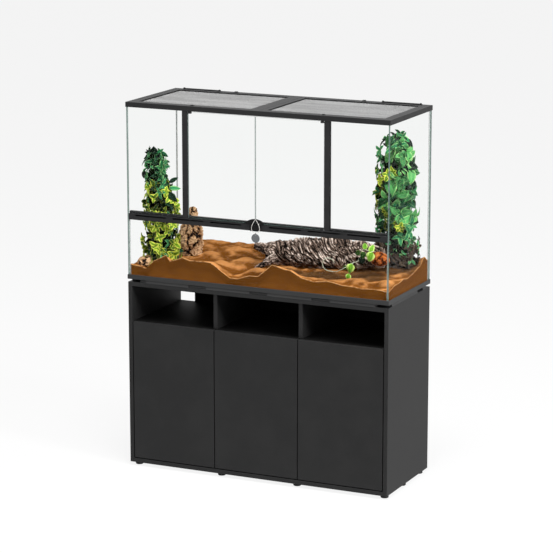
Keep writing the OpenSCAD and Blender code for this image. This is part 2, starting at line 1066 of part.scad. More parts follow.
// lock body on the middle of the rail: a block that narrows downwards
module lock_body() {
  top_half = 23;
  low_half = 19;
  lock_t = 8.5;
  lock_h = rail_face_h - 0.5;
  corner_r = 4;
  color("#262626")
    difference() {
      translate([0, -frame_half_d, rail_z])
        rotate([90, 0, 0])
          linear_extrude(lock_t)
            union() {
              polygon([
                [-low_half + corner_r, 0], [low_half - corner_r, 0], [low_half, corner_r],
                [top_half, lock_h - 5], [top_half - 4, lock_h], [-top_half + 4, lock_h],
                [-top_half, lock_h - 5], [-low_half, corner_r]
              ]);
              for (x = [-low_half + corner_r, low_half - corner_r])
                translate([x, corner_r])
                  circle(r = corner_r);
            }
      translate([0, -frame_half_d - lock_t + 0.8, rail_z + lock_h / 2])
        rotate([90, 0, 0])
          cylinder(r = 10, h = 2);
    }
}

// pointed wire loop, hanging flat in front of the lock
loop_drop = 58;
loop_bulge = 24;
function loop_point(t) =
  [loop_x + loop_bulge * sin(t) * sin(t / 2), loop_y, loop_top - loop_drop * (1 - cos(t)) / 2];

module wire_loop() {
  steps = 40;
  sides = 8;
  path = [for (i = [0:steps - 1]) loop_point(i * 360 / steps)];
  rings = wire_rings(path, wire_r, sides, true);
  color("#cfc9b8")
    polyhedron([for (r = rings, p = r) p], loft_sides(steps, sides, true));
}

// round tag with its hole, and the small ring that joins it to the loop
module loop_tag() {
  link_r = 4.2;
  link_wire = 0.6;
  tag_r = 18.5;
  tag_t = 3;
  loop_low = loop_top - loop_drop;
  link_z = loop_low - 2;
  tag_top = link_z - 0.5;
  color("#6e6e6e")
    translate([loop_x, loop_y, 0]) {
      translate([0, 0, link_z])
        rotate([0, 90, 0])
          rotate_extrude()
            translate([link_r, 0])
              circle(r = link_wire, $fn = 16);
      difference() {
        translate([0, tag_t / 2, tag_top - tag_r])
          rotate([90, 0, 0])
            rotate_extrude()
              polygon([
                [0, 0.4], [tag_r - 2.5, 0.4], [tag_r - 2, 0], [tag_r - 0.6, 0], [tag_r, 0.6],
                [tag_r, tag_t - 0.6], [tag_r - 0.6, tag_t], [tag_r - 2, tag_t],
                [tag_r - 2.5, tag_t - 0.4], [0, tag_t - 0.4]
              ]);
        translate([0, 0, link_z - 4.6])
          rotate([90, 0, 0])
            cylinder(r = 1.8, h = 10, center = true, $fn = 24);
      }
    }
}

// ---------------------------------------------------------------- landscape

sand_z0 = glass_z + glass_t + 0.2;
sand_half_w = glass_half_w - glass_t - 0.5;
sand_low_y = -glass_half_d + glass_t + 0.5;
sand_high_y = glass_half_d - glass_t - 0.5;

// dunes: x, y, spread in x, spread in y, height
dunes = [
  [-600, -220, 30, 60, 22], [-440, -220, 48, 55, 52], [-338, -220, 38, 60, 54],
  [-250, -220, 62, 70, 48], [-98, -210, 50, 80, -16], [-25, -220, 22, 40, 9],
  [95, -220, 62, 70, 60], [188, -220, 52, 60, 20], [325, -220, 36, 50, 20],
  [450, -220, 60, 60, 11], [512, -220, 22, 40, -12], [-150, -60, 46, 34, 15],
  [-40, -30, 52, 38, 17], [-230, 40, 60, 44, -12], [560, -120, 60, 46, 14],
  [250, 150, 90, 60, 10], [592, 0, 40, 60, -8]
];

function dune_height(x, y, d) = d[4] * exp(-pow((x - d[0]) / d[2], 2) - pow((y - d[1]) / d[3], 2));

function sand_level(x, y) =
  sand_front_z + sand_rise * (y - sand_low_y) / (sand_high_y - sand_low_y)
  + [for (d = dunes) dune_height(x, y, d)] * [for (d = dunes) 1];

sand_columns = 52;
sand_rows = 12;

function sand_point(i, j) =
  let (x = -sand_half_w + 2 * sand_half_w * i / sand_columns)
  let (y = sand_low_y + (sand_high_y - sand_low_y) * j / sand_rows)
    [x, y, sand_level(x, y)];

// sand under a range of columns and rows of its surface grid
module sand_block(from, to) {
  columns = to[0] - from[0];
  rows = to[1] - from[1];
  across = columns + 1;
  top_points = [for (j = [0:rows], i = [0:columns]) sand_point(from[0] + i, from[1] + j)];
  n = len(top_points);
  edge = concat(
    [for (i = [0:columns - 1]) i],
    [for (j = [0:rows - 1]) j * across + columns],
    [for (i = [columns:-1:1]) rows * across + i],
    [for (j = [rows:-1:1]) j * across]
  );
  m = len(edge);
  low_points = [for (e = edge) [top_points[e][0], top_points[e][1], sand_z0]];
  low_centre = (low_points[0] + low_points[columns + rows]) / 2;
  top_faces = [
    for (j = [0:rows - 1], i = [0:columns - 1], half = [0, 1])
      let (a = j * across + i, b = a + 1, c = a + across, d = c + 1)
        half == 0 ? [a, c, b] : [b, c, d]
  ];
  skirt_faces = [
    for (k = [0:m - 1], half = [0, 1])
      let (a = edge[k], b = edge[(k + 1) % m], low_b = n + (k + 1) % m)
        half == 0 ? [a, b, n + k] : [b, low_b, n + k]
  ];
  low_faces = [for (k = [0:m - 1]) [n + m, n + k, n + (k + 1) % m]];
  polyhedron(
    concat(top_points, low_points, [low_centre]),
    concat(top_faces, skirt_faces, low_faces)
  );
}

module sand_bed() {
  color("#9a5a24")
    sand_block([0, 0], [sand_columns, sand_rows]);
}

// what is left of the children above the sand in a range of its grid
module above_sand(from, to) {
  sand_clear = 0.05;
  difference() {
    union()
      children();
    translate([0, 0, sand_clear])
      sand_block(from, to);
  }
}

// upright slab of cork bark: a core with a knob at its head, and bark lumps
cork_foot = [-428, 12];
cork_tall = 215;
cork_sizes = [[0, 56], [0.25, 62], [0.55, 54], [0.75, 40], [0.85, 24], [0.95, 23], [1, 13]];
function cork_point(h, a, share) =
  let (r = share * lookup(h, cork_sizes))
    [cork_foot[0] + 18 * h + r * cos(a), cork_foot[1] + 10 * h + 0.62 * r * sin(a), 896 + cork_tall * h];

module cork_bark() {
  rings = 17;
  sides = 16;
  color("#a9764a")
    above_sand([3, 4], [12, 8]) {
      loft([
        for (i = [0:rings - 1])
          let (h = i / (rings - 1))
            [for (j = [0:sides - 1])
              let (a = j * 360 / sides)
                cork_point(h, a, 1 + 0.09 * sin(5 * a + 300 * h) + 0.05 * sin(9 * a))]
      ]);
      // lumps: low height, high height, direction, radius
      for (lump = [
        [0.02, 0.16, 185, 13], [0.02, 0.17, 222, 14], [0.02, 0.15, 262, 15], [0.02, 0.17, 302, 14],
        [0.02, 0.16, 345, 13], [0.24, 0.46, 200, 13], [0.23, 0.5, 240, 14], [0.25, 0.48, 283, 15],
        [0.24, 0.5, 325, 13], [0.56, 0.72, 215, 11], [0.58, 0.74, 265, 13], [0.57, 0.71, 318, 11]
      ])
        hull()
          for (h = [lump[0], (lump[0] + lump[1]) / 2, lump[1]])
            translate(cork_point(h, lump[2] + 20 * (h - lump[0]), 0.93))
              sphere(r = lump[3], $fn = 9);
    }
}

// gnarled log lying across the tank, with twisted strands and knots along it
log_from = [-46, -2, 946];
log_to = [474, 22, 968];
function log_radius(t) = 50 + 16 * sin(180 * t) - 8 * pow(2 * t - 1, 4) + 5 * sin(720 * t + 40);
function log_point(t, a, share) =
  log_from + t * (log_to - log_from) + [0, 10 * sin(360 * t), 8 * sin(180 * t)]
  + share * log_radius(t) * [0, cos(a), 0.92 * sin(a)];

module log_wood() {
  rings = 32;
  sides = 20;
  difference() {
    union() {
      loft([
        for (i = [0:rings - 1])
          let (t = i / (rings - 1))
            [for (j = [0:sides - 1])
              let (a = j * 360 / sides)
                log_point(t, a, 1 + 0.10 * sin(6 * a + 540 * t) + 0.05 * sin(11 * a - 300 * t))
                + [4 * sin(3 * a), 0, 0]]
      ]);
      // knots: low end, high end, direction, radius
      for (knot = [
        [0.05, 0.16, 100, 11], [0.12, 0.24, 150, 12], [0.2, 0.33, 60, 12], [0.3, 0.4, 120, 13],
        [0.42, 0.55, 95, 12], [0.5, 0.6, 165, 13], [0.62, 0.74, 70, 12], [0.7, 0.8, 140, 13],
        [0.82, 0.92, 105, 11], [0.36, 0.48, 195, 11]
      ])
        hull()
          for (k = [0:2])
            translate(log_point(knot[0] + k * (knot[1] - knot[0]) / 2, knot[2] + 12 * k, 0.92))
              sphere(r = knot[3], $fn = 9);
    }
    // hollow of the cut end
    translate(log_from - [9, 0.4, 2.3])
      rotate([0, 90, 0])
        cylinder(r1 = 36, r2 = 12, h = 70, $fn = 15);
  }
}

module driftwood_log() {
  color("#6f5648")
    above_sand([22, 3], [48, 9])
      log_wood();
}

// pointed leaf along +X, its tip drooping
module leaf(long, wide, thick = 2.4) {
  hull()
    polyhedron(
      [
        [0, 0, 0], [0.42 * long, wide / 2, -0.1 * long], [long, 0, -0.42 * long],
        [0.42 * long, -wide / 2, -0.1 * long], [0.45 * long, 0, thick - 0.06 * long],
        [0.45 * long, 0, -0.06 * long - thick]
      ],
      [
        [0, 4, 1], [1, 4, 2], [2, 4, 3], [3, 4, 0],
        [0, 1, 5], [1, 2, 5], [2, 3, 5], [3, 0, 5]
      ]
    );
}

// value k of a plant's stations [z, centre x, centre y, half x, half y] at height z
function along(stations, z, k) = lookup(z, [for (row = stations) [row[0], row[k]]]);

// point of a plant at height z, in direction a, at a share of its foliage's reach
function foliage_point(stations, z, a, share) = [
  along(stations, z, 1) + share * along(stations, z, 3) * cos(a),
  along(stations, z, 2) + share * along(stations, z, 4) * sin(a),
  z
];

// climbing plant: a lumpy core, and leaves all round it in a spiral
module climber(stations, leaves, leaf_w) {
  low = stations[0][0];
  high = stations[len(stations) - 1][0];
  steps = 9;
  loft([
    for (i = [0:steps])
      [for (j = [0:9])
        foliage_point(
          stations, low + (high - low - 12) * i / steps, j * 36, 0.52 + 0.08 * sin(j * 108 + i * 70)
        )]
  ]);
  for (i = [0:leaves - 1]) {
    z = low + 8 + (high - low - 24) * (i + 0.5) / leaves;
    a = i * 137.5;
    foot = foliage_point(stations, z, a, 0.38);
    tip = foliage_point(stations, z, a, 0.96 + 0.06 * sin(i * 77));
    translate(foot)
      rotate([22 * sin(i * 50), 10 * sin(i * 31), atan2(tip[1] - foot[1], tip[0] - foot[0])])
        leaf(norm(tip - foot), leaf_w * (1 + 0.25 * sin(i * 41)));
  }
}

module plant_left() {
  color("#2d5a2a")
    above_sand([0, 0], [10, 4]) {
      climber([
        [892, -474, -150, 92, 55], [960, -474, -148, 104, 62], [1060, -482, -145, 80, 58],
        [1160, -480, -142, 78, 55], [1245, -500, -140, 46, 42], [1325, -512, -138, 64, 50],
        [1386, -512, -138, 30, 28]
      ], 150, 26);
      hull()
        for (p = [[-560, -150, 888], [-505, -158, 880], [-530, -120, 934]])
          translate(p)
            sphere(r = 20, $fn = 12);
    }
}

module plant_right() {
  color("#2d5a2a")
    above_sand([42, 7], [52, 12])
      climber([
        [905, 490, 138, 88, 66], [1040, 488, 136, 98, 72], [1180, 482, 134, 96, 70],
        [1300, 480, 134, 92, 66], [1400, 478, 132, 84, 62], [1480, 470, 130, 40, 36]
      ], 150, 34);
}

// trailing sprig on the log's front: a stem that ends in a curled tendril, a
// side shoot, and leaves given as root, length and direction
module vine_sprig() {
  curl = [278, -104, 945];
  curl_r = 27;
  stem = concat(
    [for (i = [0:16]) let (a = 20 + i * 250 / 16) curl + curl_r * [cos(a), 0, sin(a)]],
    [
      [300, -105, 916], [318, -107, 918], [340, -111, 930], [356, -112, 940],
      [378, -90, 955], [396, -55, 962], [406, -26, 964]
    ]
  );
  shoot = [[392, -63, 960], [402, -62, 980], [410, -70, 1000], [418, -85, 1016], [425, -95, 1030]];
  color("#79a832")
    difference() {
      union() {
        loft(wire_rings(stem, 1.6, 6, false));
        loft(wire_rings(shoot, 1.6, 6, false));
        for (p = [
          [[357, -111, 940.4], 34, 247], [[363, -106, 944.2], 26, 302], [[333, -109.6, 926], 20, 112],
          [[400.6, -62.3, 976.5], 30, 163], [[406.4, -66.1, 990.7], 34, 17],
          [[411.1, -72.1, 1002.3], 30, 207], [[414.3, -78.2, 1008.7], 32, 333],
          [[417.3, -83.4, 1014.6], 34, 158], [[421.7, -89.9, 1023.2], 30, 28],
          [[424.1, -93.8, 1028.4], 32, 96]
        ])
          translate(p[0])
            rotate([80, 0, 0])
              rotate([0, 0, p[2]])
                leaf(p[1], 0.6 * p[1], 1.8);
      }
      log_wood();
    }
}

cabinet_left_side();
cabinet_right_side();
cabinet_top();
cabinet_bottom();
middle_deck();
niche_divider_left();
niche_divider_right();
lower_divider_left();
lower_divider_right();
cabinet_back();
cabinet_feet();
shelf_left();
shelf_middle();
shelf_right();
shelf_pins();
push_latches();
plunger_left();
plunger_middle();
plunger_right();
hinge_arms();
door_left();
door_middle();
door_right();
door_left_fittings();
door_middle_fittings();
door_right_fittings();
base_frame();
base_pane();
back_pane();
left_pane();
right_pane();
front_lower_pane();
front_left_pane();
front_right_pane();
left_post();
right_post();
vent_rail();
vent_gauze();
top_frame();
lid_left_frame();
lid_left_mesh();
lid_right_frame();
lid_right_mesh();
cable_cover_left();
cable_cover_right();
glass_door_left();
glass_door_right();
glass_door_left_hinges();
glass_door_right_hinges();
grip_left();
grip_right();
lock_body();
wire_loop();
loop_tag();
sand_bed();
cork_bark();
driftwood_log();
plant_left();
plant_right();
vine_sprig();
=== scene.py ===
"""Looks of a planted glass terrarium on its black cabinet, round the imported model.

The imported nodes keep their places. Boards, panes, frames and fittings get
procedural finishes, and the sand, bark, log, plants and lid mesh are built
here in full detail in the space of their plain solids.
"""

from __future__ import annotations

import logging
import math
import random
from dataclasses import dataclass, field
from enum import Enum
from typing import Callable, ClassVar, Iterable, Optional, Sequence, Union

import bpy
import numpy as np
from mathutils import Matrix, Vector, noise

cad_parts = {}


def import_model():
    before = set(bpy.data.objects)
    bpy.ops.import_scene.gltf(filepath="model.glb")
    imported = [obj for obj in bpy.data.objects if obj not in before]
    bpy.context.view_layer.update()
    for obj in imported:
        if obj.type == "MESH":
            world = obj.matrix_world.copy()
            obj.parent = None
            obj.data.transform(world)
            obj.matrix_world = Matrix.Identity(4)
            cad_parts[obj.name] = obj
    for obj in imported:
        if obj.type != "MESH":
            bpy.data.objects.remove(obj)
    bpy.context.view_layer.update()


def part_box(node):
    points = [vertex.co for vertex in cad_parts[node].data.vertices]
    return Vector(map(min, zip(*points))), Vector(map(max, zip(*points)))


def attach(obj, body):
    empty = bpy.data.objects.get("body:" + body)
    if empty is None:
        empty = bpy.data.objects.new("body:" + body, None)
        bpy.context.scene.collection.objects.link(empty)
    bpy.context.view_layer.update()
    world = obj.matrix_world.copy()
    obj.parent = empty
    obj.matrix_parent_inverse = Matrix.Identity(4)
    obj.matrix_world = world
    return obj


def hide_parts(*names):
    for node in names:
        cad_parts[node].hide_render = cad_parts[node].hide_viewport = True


LOG = logging.getLogger("terrarium")
MM = 0.001
WHITE = (1.0, 1.0, 1.0)
NOISE_SPAN = 1.6

Rgb = tuple[float, float, float]
Point = tuple[float, float, float]
Number = Union[float, int, "Value"]
Entry = Union[Number, Rgb, Sequence[float]]


# ------------------------------------------------------------------ shader maths


class Value:
    """An output socket of a finish, on which arithmetic adds Math nodes."""

    def __init__(self, tree: "Tree", socket: bpy.types.NodeSocket) -> None:
        """Keeps the tree and the socket that this value stands for.

        Args:
            tree: The node tree that new nodes go into.
            socket: The output socket that carries the value.
        """
        self.tree = tree
        self.socket = socket

    def _math(self, operation: str, first: Number, second: Number) -> "Value":
        """Adds one Math node and returns its result."""
        return self.tree.node("ShaderNodeMath", {"operation": operation}, {0: first, 1: second})

    def __add__(self, other: Number) -> "Value":
        """Returns self + other."""
        return self._math("ADD", self, other)

    def __radd__(self, other: Number) -> "Value":
        """Returns other + self."""
        return self._math("ADD", other, self)

    def __sub__(self, other: Number) -> "Value":
        """Returns self - other."""
        return self._math("SUBTRACT", self, other)

    def __rsub__(self, other: Number) -> "Value":
        """Returns other - self."""
        return self._math("SUBTRACT", other, self)

    def __mul__(self, other: Number) -> "Value":
        """Returns self * other."""
        return self._math("MULTIPLY", self, other)

    def __rmul__(self, other: Number) -> "Value":
        """Returns other * self."""
        return self._math("MULTIPLY", other, self)

    def __pow__(self, other: Number) -> "Value":
        """Returns self ** other."""
        return self._math("POWER", self, other)

    def __rpow__(self, other: Number) -> "Value":
        """Returns other ** self."""
        return self._math("POWER", other, self)

    def __gt__(self, other: Number) -> "Value":
        """Returns 1 where self is greater than other, else 0."""
        return self._math("GREATER_THAN", self, other)

    def __lt__(self, other: Number) -> "Value":
        """Returns 1 where self is less than other, else 0."""
        return self._math("LESS_THAN", self, other)

    def size(self) -> "Value":
        """Returns the value without its sign."""
        return self._math("ABSOLUTE", self, 0.0)

    def sine(self) -> "Value":
        """Returns the sine of the value in radians."""
        return self._math("SINE", self, 0.0)

    def rise(self, low: float, high: float) -> "Value":
        """Returns a smooth step from 0 at low to 1 at high.

        Args:
            low: Value at and under which the step is 0.
            high: Value at and over which the step is 1.

        Returns:
            The stepped value.
        """
        return self.tree.node(
            "ShaderNodeMapRange",
            {"interpolation_type": "SMOOTHSTEP"},
            {"Value": self, "From Min": low, "From Max": high},
        )


class Tree:
    """A material's or a room's node tree, filled through one method for every kind of node."""

    def __init__(self, name: str, room: bool = False) -> None:
        """Makes an empty material or room of this name.

        Args:
            name: Name of the finish.
            room: Whether the tree paints the room round the scene.
        """
        self.owner = (bpy.data.worlds if room else bpy.data.materials).new(name)
        self.owner.use_nodes = True
        self.nodes = self.owner.node_tree.nodes
        self.links = self.owner.node_tree.links
        self.nodes.clear()
        self.output = self.nodes.new("ShaderNodeOutputWorld" if room else "ShaderNodeOutputMaterial")

    def node(
        self,
        kind: str,
        settings: Optional[dict[str, object]] = None,
        inputs: Optional[dict[Union[str, int], Entry]] = None,
        output: Union[str, int] = 0,
    ) -> Value:
        """Adds a node, with its settings first and then its sockets.

        Args:
            kind: Blender's name of the node's type.
            settings: Attributes of the node; "stops" holds a ramp's stops.
            inputs: Values or links by socket name or number.
            output: Name or number of the output that is returned.

        Returns:
            The chosen output.
        """
        made = self.nodes.new(kind)
        for name, setting in (settings or {}).items():
            if name == "stops":
                self._set_stops(made, setting)
            else:
                setattr(made, name, setting)
        for key, entry in (inputs or {}).items():
            self._feed(made.inputs[key], entry)
        return Value(self, made.outputs[output])

    def _set_stops(self, ramp: bpy.types.Node, stops: Sequence[tuple[float, Rgb]]) -> None:
        """Sets a colour ramp's stops.

        Args:
            ramp: The colour ramp node.
            stops: Place and colour of each stop, from 0 upwards.
        """
        elements = ramp.color_ramp.elements
        while len(elements) < len(stops):
            elements.new(1.0)
        for element, (place, colour) in zip(elements, stops):
            element.position = place
            element.color = (*colour, 1.0)

    def _feed(self, socket: bpy.types.NodeSocket, entry: Entry) -> None:
        """Links a value to a socket, or sets the socket's own number or colour.

        Args:
            socket: The input socket.
            entry: A value, a number, or a colour or vector as plain numbers.
        """
        if isinstance(entry, Value):
            self.links.new(entry.socket, socket)
        elif socket.type == "RGBA" and len(entry) == 3:
            socket.default_value = (*entry, 1.0)
        else:
            socket.default_value = entry

    def place(self) -> Value:
        """Returns the point on the piece, in its own frame and in metres."""
        return self.node("ShaderNodeTexCoord", output="Object")

    def side(self, axis: str) -> Value:
        """Returns one part of the piece's own surface direction.

        Args:
            axis: X, Y or Z.

        Returns:
            That part of the direction, from -1 to 1.
        """
        facing = self.node("ShaderNodeTexCoord", output="Normal")
        return self.node("ShaderNodeSeparateXYZ", inputs={0: facing}, output=axis)

    def stretched(self, scale: Point) -> Value:
        """Returns the point on the piece with each axis scaled."""
        return self.node("ShaderNodeMapping", inputs={"Vector": self.place(), "Scale": scale})

    def grain(
        self, scale: float, detail: float = 3.0, rough: float = 0.55, at: Optional[Value] = None
    ) -> Value:
        """Returns cloudy noise of a number of features per metre.

        Args:
            scale: Features in a metre.
            detail: Octaves.
            rough: Weight of the finer octaves.
            at: Point that is read, the piece's own place by default.

        Returns:
            Noise from 0 to 1.
        """
        return self.node(
            "ShaderNodeTexNoise",
            inputs={"Vector": at or self.place(), "Scale": scale, "Detail": detail, "Roughness": rough},
        )

    def attribute(self, name: str) -> Value:
        """Returns a number that the mesh holds at its points."""
        return self.node("ShaderNodeAttribute", {"attribute_name": name}, output="Fac")

    def blend(self, share: Number, low: Entry, high: Entry) -> Value:
        """Returns a colour between two others.

        Args:
            share: 0 for the first colour, 1 for the second.
            low: First colour.
            high: Second colour.

        Returns:
            The mixed colour.
        """
        return self.node(
            "ShaderNodeMix", {"data_type": "RGBA"}, {0: share, 6: low, 7: high}, output=2
        )

    def bump(self, height: Value, depth: float, strength: float = 1.0, over: Optional[Value] = None) -> Value:
        """Returns the surface direction after a relief.

        Args:
            height: Relief from 0 to 1.
            depth: Depth of the relief in metres.
            strength: Share of the relief that is used.
            over: Direction of an earlier relief that this one lies on.

        Returns:
            The direction for a Normal socket.
        """
        inputs: dict[Union[str, int], Entry] = {
            "Height": height, "Distance": depth, "Strength": strength,
        }
        if over is not None:
            inputs["Normal"] = over
        return self.node("ShaderNodeBump", inputs=inputs)

    def surface(self, **inputs: Entry) -> Value:
        """Adds a Principled shader.

        Args:
            inputs: Values by socket name, with underscores for the spaces in it.

        Returns:
            The shader.
        """
        return self.node(
            "ShaderNodeBsdfPrincipled",
            inputs={name.replace("_", " "): entry for name, entry in inputs.items()},
        )

    def mixed(self, share: Number, first: Value, second: Value) -> Value:
        """Adds a shader between two others.

        Args:
            share: 0 for the first shader, 1 for the second.
            first: First shader.
            second: Second shader.

        Returns:
            The mixed shader.
        """
        return self.node("ShaderNodeMixShader", inputs={0: share, 1: first, 2: second})

    def seen(self) -> Value:
        """Reads what kind of ray meets the surface.

        Returns:
            1 for what the eye sees, directly or in or through a surface, else 0.
        """
        rays = [
            self.node("ShaderNodeLightPath", output=name)
            for name in ("Is Camera Ray", "Is Glossy Ray", "Is Transmission Ray")
        ]
        return rays[0] + rays[1] + rays[2]

    def close(self, shader: Value) -> Union[bpy.types.Material, bpy.types.World]:
        """Links the shader to the output and returns the material or the room."""
        self.links.new(shader.socket, self.output.inputs["Surface"])
        return self.owner


# ------------------------------------------------------------------ finishes


class Finish:
    """A finish that is made once and then shared by its pieces."""

    _made: dict["Finish", bpy.types.Material] = {}

    def material(self) -> bpy.types.Material:
        """Makes the finish's material at its first use.

        Returns:
            The material that all its pieces share.
        """
        if self not in Finish._made:
            Finish._made[self] = self.paint()
        return Finish._made[self]

    def paint(self) -> bpy.types.Material:
        """Builds the material's nodes."""
        raise NotImplementedError

    def dress(self, nodes: Iterable[str]) -> None:
        """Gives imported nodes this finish.

        Args:
            nodes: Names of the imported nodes.
        """
        for name in nodes:
            slots = bpy.data.objects[name].data.materials
            slots.clear()
            slots.append(self.material())
            LOG.info("finish %s on %s", self.material().name, name)


@dataclass(frozen=True)
class FilmBoard(Finish):
    """Board faced with black film that has a fine pebbled skin."""

    name: str = "film_board"
    tone: Rgb = (0.0130, 0.0130, 0.0132)
    worn: Rgb = (0.0165, 0.0165, 0.0165)
    gloss: float = 0.20

    def paint(self) -> bpy.types.Material:
        """Builds the pebbled skin, with slight clouding of its tone.

        Returns:
            The material.
        """
        tree = Tree(self.name)
        cloud = tree.grain(7.0, 4.0)
        pebble = tree.node(
            "ShaderNodeTexVoronoi", inputs={"Vector": tree.place(), "Scale": 900.0}, output="Distance"
        )
        colour = tree.blend(cloud.rise(0.35, 0.70), self.tone, self.worn)
        rough = 0.52 + 0.08 * cloud
        relief = tree.bump(pebble, 0.00012, 0.5)
        return tree.close(
            tree.surface(Base_Color=colour, Roughness=rough, Specular_IOR_Level=self.gloss, Normal=relief)
        )


@dataclass(frozen=True)
class MouldedPlastic(Finish):
    """Satin moulded plastic with a fine spark-eroded texture."""

    name: str = "moulded_black"
    tone: Rgb = (0.0095, 0.0095, 0.0100)
    pale: Rgb = (0.0140, 0.0140, 0.0145)
    gloss: float = 0.22
    roughness: float = 0.45

    def paint(self) -> bpy.types.Material:
        """Builds the eroded texture and faint flow marks along the mouldings.

        Returns:
            The material.
        """
        tree = Tree(self.name)
        flow = tree.grain(18.0, 3.0, at=tree.stretched((0.25, 1.0, 1.0)))
        spark = tree.grain(2400.0, 2.0)
        colour = tree.blend(flow.rise(0.35, 0.7), self.tone, self.pale)
        rough = self.roughness + 0.12 * spark
        relief = tree.bump(spark, 0.00006, 0.35)
        return tree.close(
            tree.surface(Base_Color=colour, Roughness=rough, Specular_IOR_Level=self.gloss, Normal=relief)
        )


class PaneFace(Enum):
    """Axis that a pane's broad faces look along."""

    SIDEWAYS = "X"
    FRONTWARDS = "Y"
    UPWARDS = "Z"


@dataclass(frozen=True)
class FloatGlass(Finish):
    """Clear float glass: broad faces all but invisible, ground edges green."""

    face: PaneFace = PaneFace.FRONTWARDS
    edge: Rgb = (0.155, 0.225, 0.200)
    edge_deep: Rgb = (0.055, 0.110, 0.090)
    tint: Rgb = (0.997, 1.0, 0.998)
    head_on: float = 0.04
    sheen: float = 0.05
    edge_cover: float = 0.9

    def paint(self) -> bpy.types.Material:
        """Builds the clear face and the ground edge, parted by the face's direction.

        Returns:
            The material.
        """
        tree = Tree("float_glass_" + self.face.name.lower())
        clear = tree.node("ShaderNodeBsdfTransparent", inputs={"Color": self.tint})
        mirror = tree.node("ShaderNodeBsdfGlossy", inputs={"Color": WHITE, "Roughness": 0.02})
        facing = tree.node("ShaderNodeLayerWeight", inputs={"Blend": 0.5}, output="Facing")
        grazing = self.head_on + (1.0 - self.head_on) * facing**5.0
        face = tree.mixed(grazing * self.sheen, clear, mirror)
        ground = tree.grain(420.0, 3.0, at=tree.stretched((1.0, 1.0, 0.2)))
        colour = tree.blend(ground.rise(0.3, 0.7), self.edge_deep, self.edge)
        rim = tree.surface(Base_Color=colour, Roughness=0.22 + 0.2 * ground, Specular_IOR_Level=0.6)
        edge = tree.mixed(self.edge_cover, clear, rim)
        on_edge = 1.0 - (tree.side(self.face.value).size() > 0.7)
        return tree.close(tree.mixed(on_edge, face, edge))


@dataclass(frozen=True)
class PlatedSteel(Finish):
    """Plated steel with fine drawing lines."""

    name: str = "plated_steel"
    tone: Rgb = (0.52, 0.51, 0.49)
    dull: Rgb = (0.30, 0.30, 0.30)
    roughness: float = 0.28

    def paint(self) -> bpy.types.Material:
        """Builds drawing lines and small dull patches.

        Returns:
            The material.
        """
        tree = Tree(self.name)
        lines = tree.grain(500.0, 2.0, at=tree.stretched((0.08, 1.0, 1.0)))
        patch = tree.grain(45.0, 4.0)
        colour = tree.blend(patch.rise(0.55, 0.8), self.tone, self.dull)
        rough = self.roughness + 0.18 * lines
        relief = tree.bump(lines, 0.00004, 0.4)
        return tree.close(tree.surface(Base_Color=colour, Metallic=1.0, Roughness=rough, Normal=relief))


@dataclass(frozen=True)
class WireCloth(Finish):
    """Grey wire of the lids' woven cloth."""

    tone: Rgb = (0.36, 0.36, 0.36)
    dark: Rgb = (0.28, 0.28, 0.28)

    def paint(self) -> bpy.types.Material:
        """Builds streaks of slightly darker wires.

        Returns:
            The material.
        """
        tree = Tree("wire_cloth")
        streak = tree.grain(14.0, 4.0, at=tree.stretched((0.15, 1.0, 1.0)))
        colour = tree.blend(streak.rise(0.4, 0.65), self.dark, self.tone)
        rough = 0.5 + 0.15 * streak
        return tree.close(
            tree.surface(Base_Color=colour, Roughness=rough, Specular_IOR_Level=0.4)
        )


@dataclass(frozen=True)
class ClearSealant(Finish):
    """Translucent sealant in the tank's inner corners."""

    tone: Rgb = (0.60, 0.63, 0.62)
    pale: Rgb = (0.74, 0.76, 0.75)
    cover: float = 0.35

    def paint(self) -> bpy.types.Material:
        """Builds a cloudy bead that lets part of the light through.

        Returns:
            The material.
        """
        tree = Tree("clear_sealant")
        cloud = tree.grain(160.0, 3.0)
        colour = tree.blend(cloud.rise(0.3, 0.7), self.tone, self.pale)
        body = tree.surface(Base_Color=colour, Roughness=0.3 + 0.1 * cloud)
        clear = tree.node("ShaderNodeBsdfTransparent")
        return tree.close(tree.mixed(self.cover, clear, body))


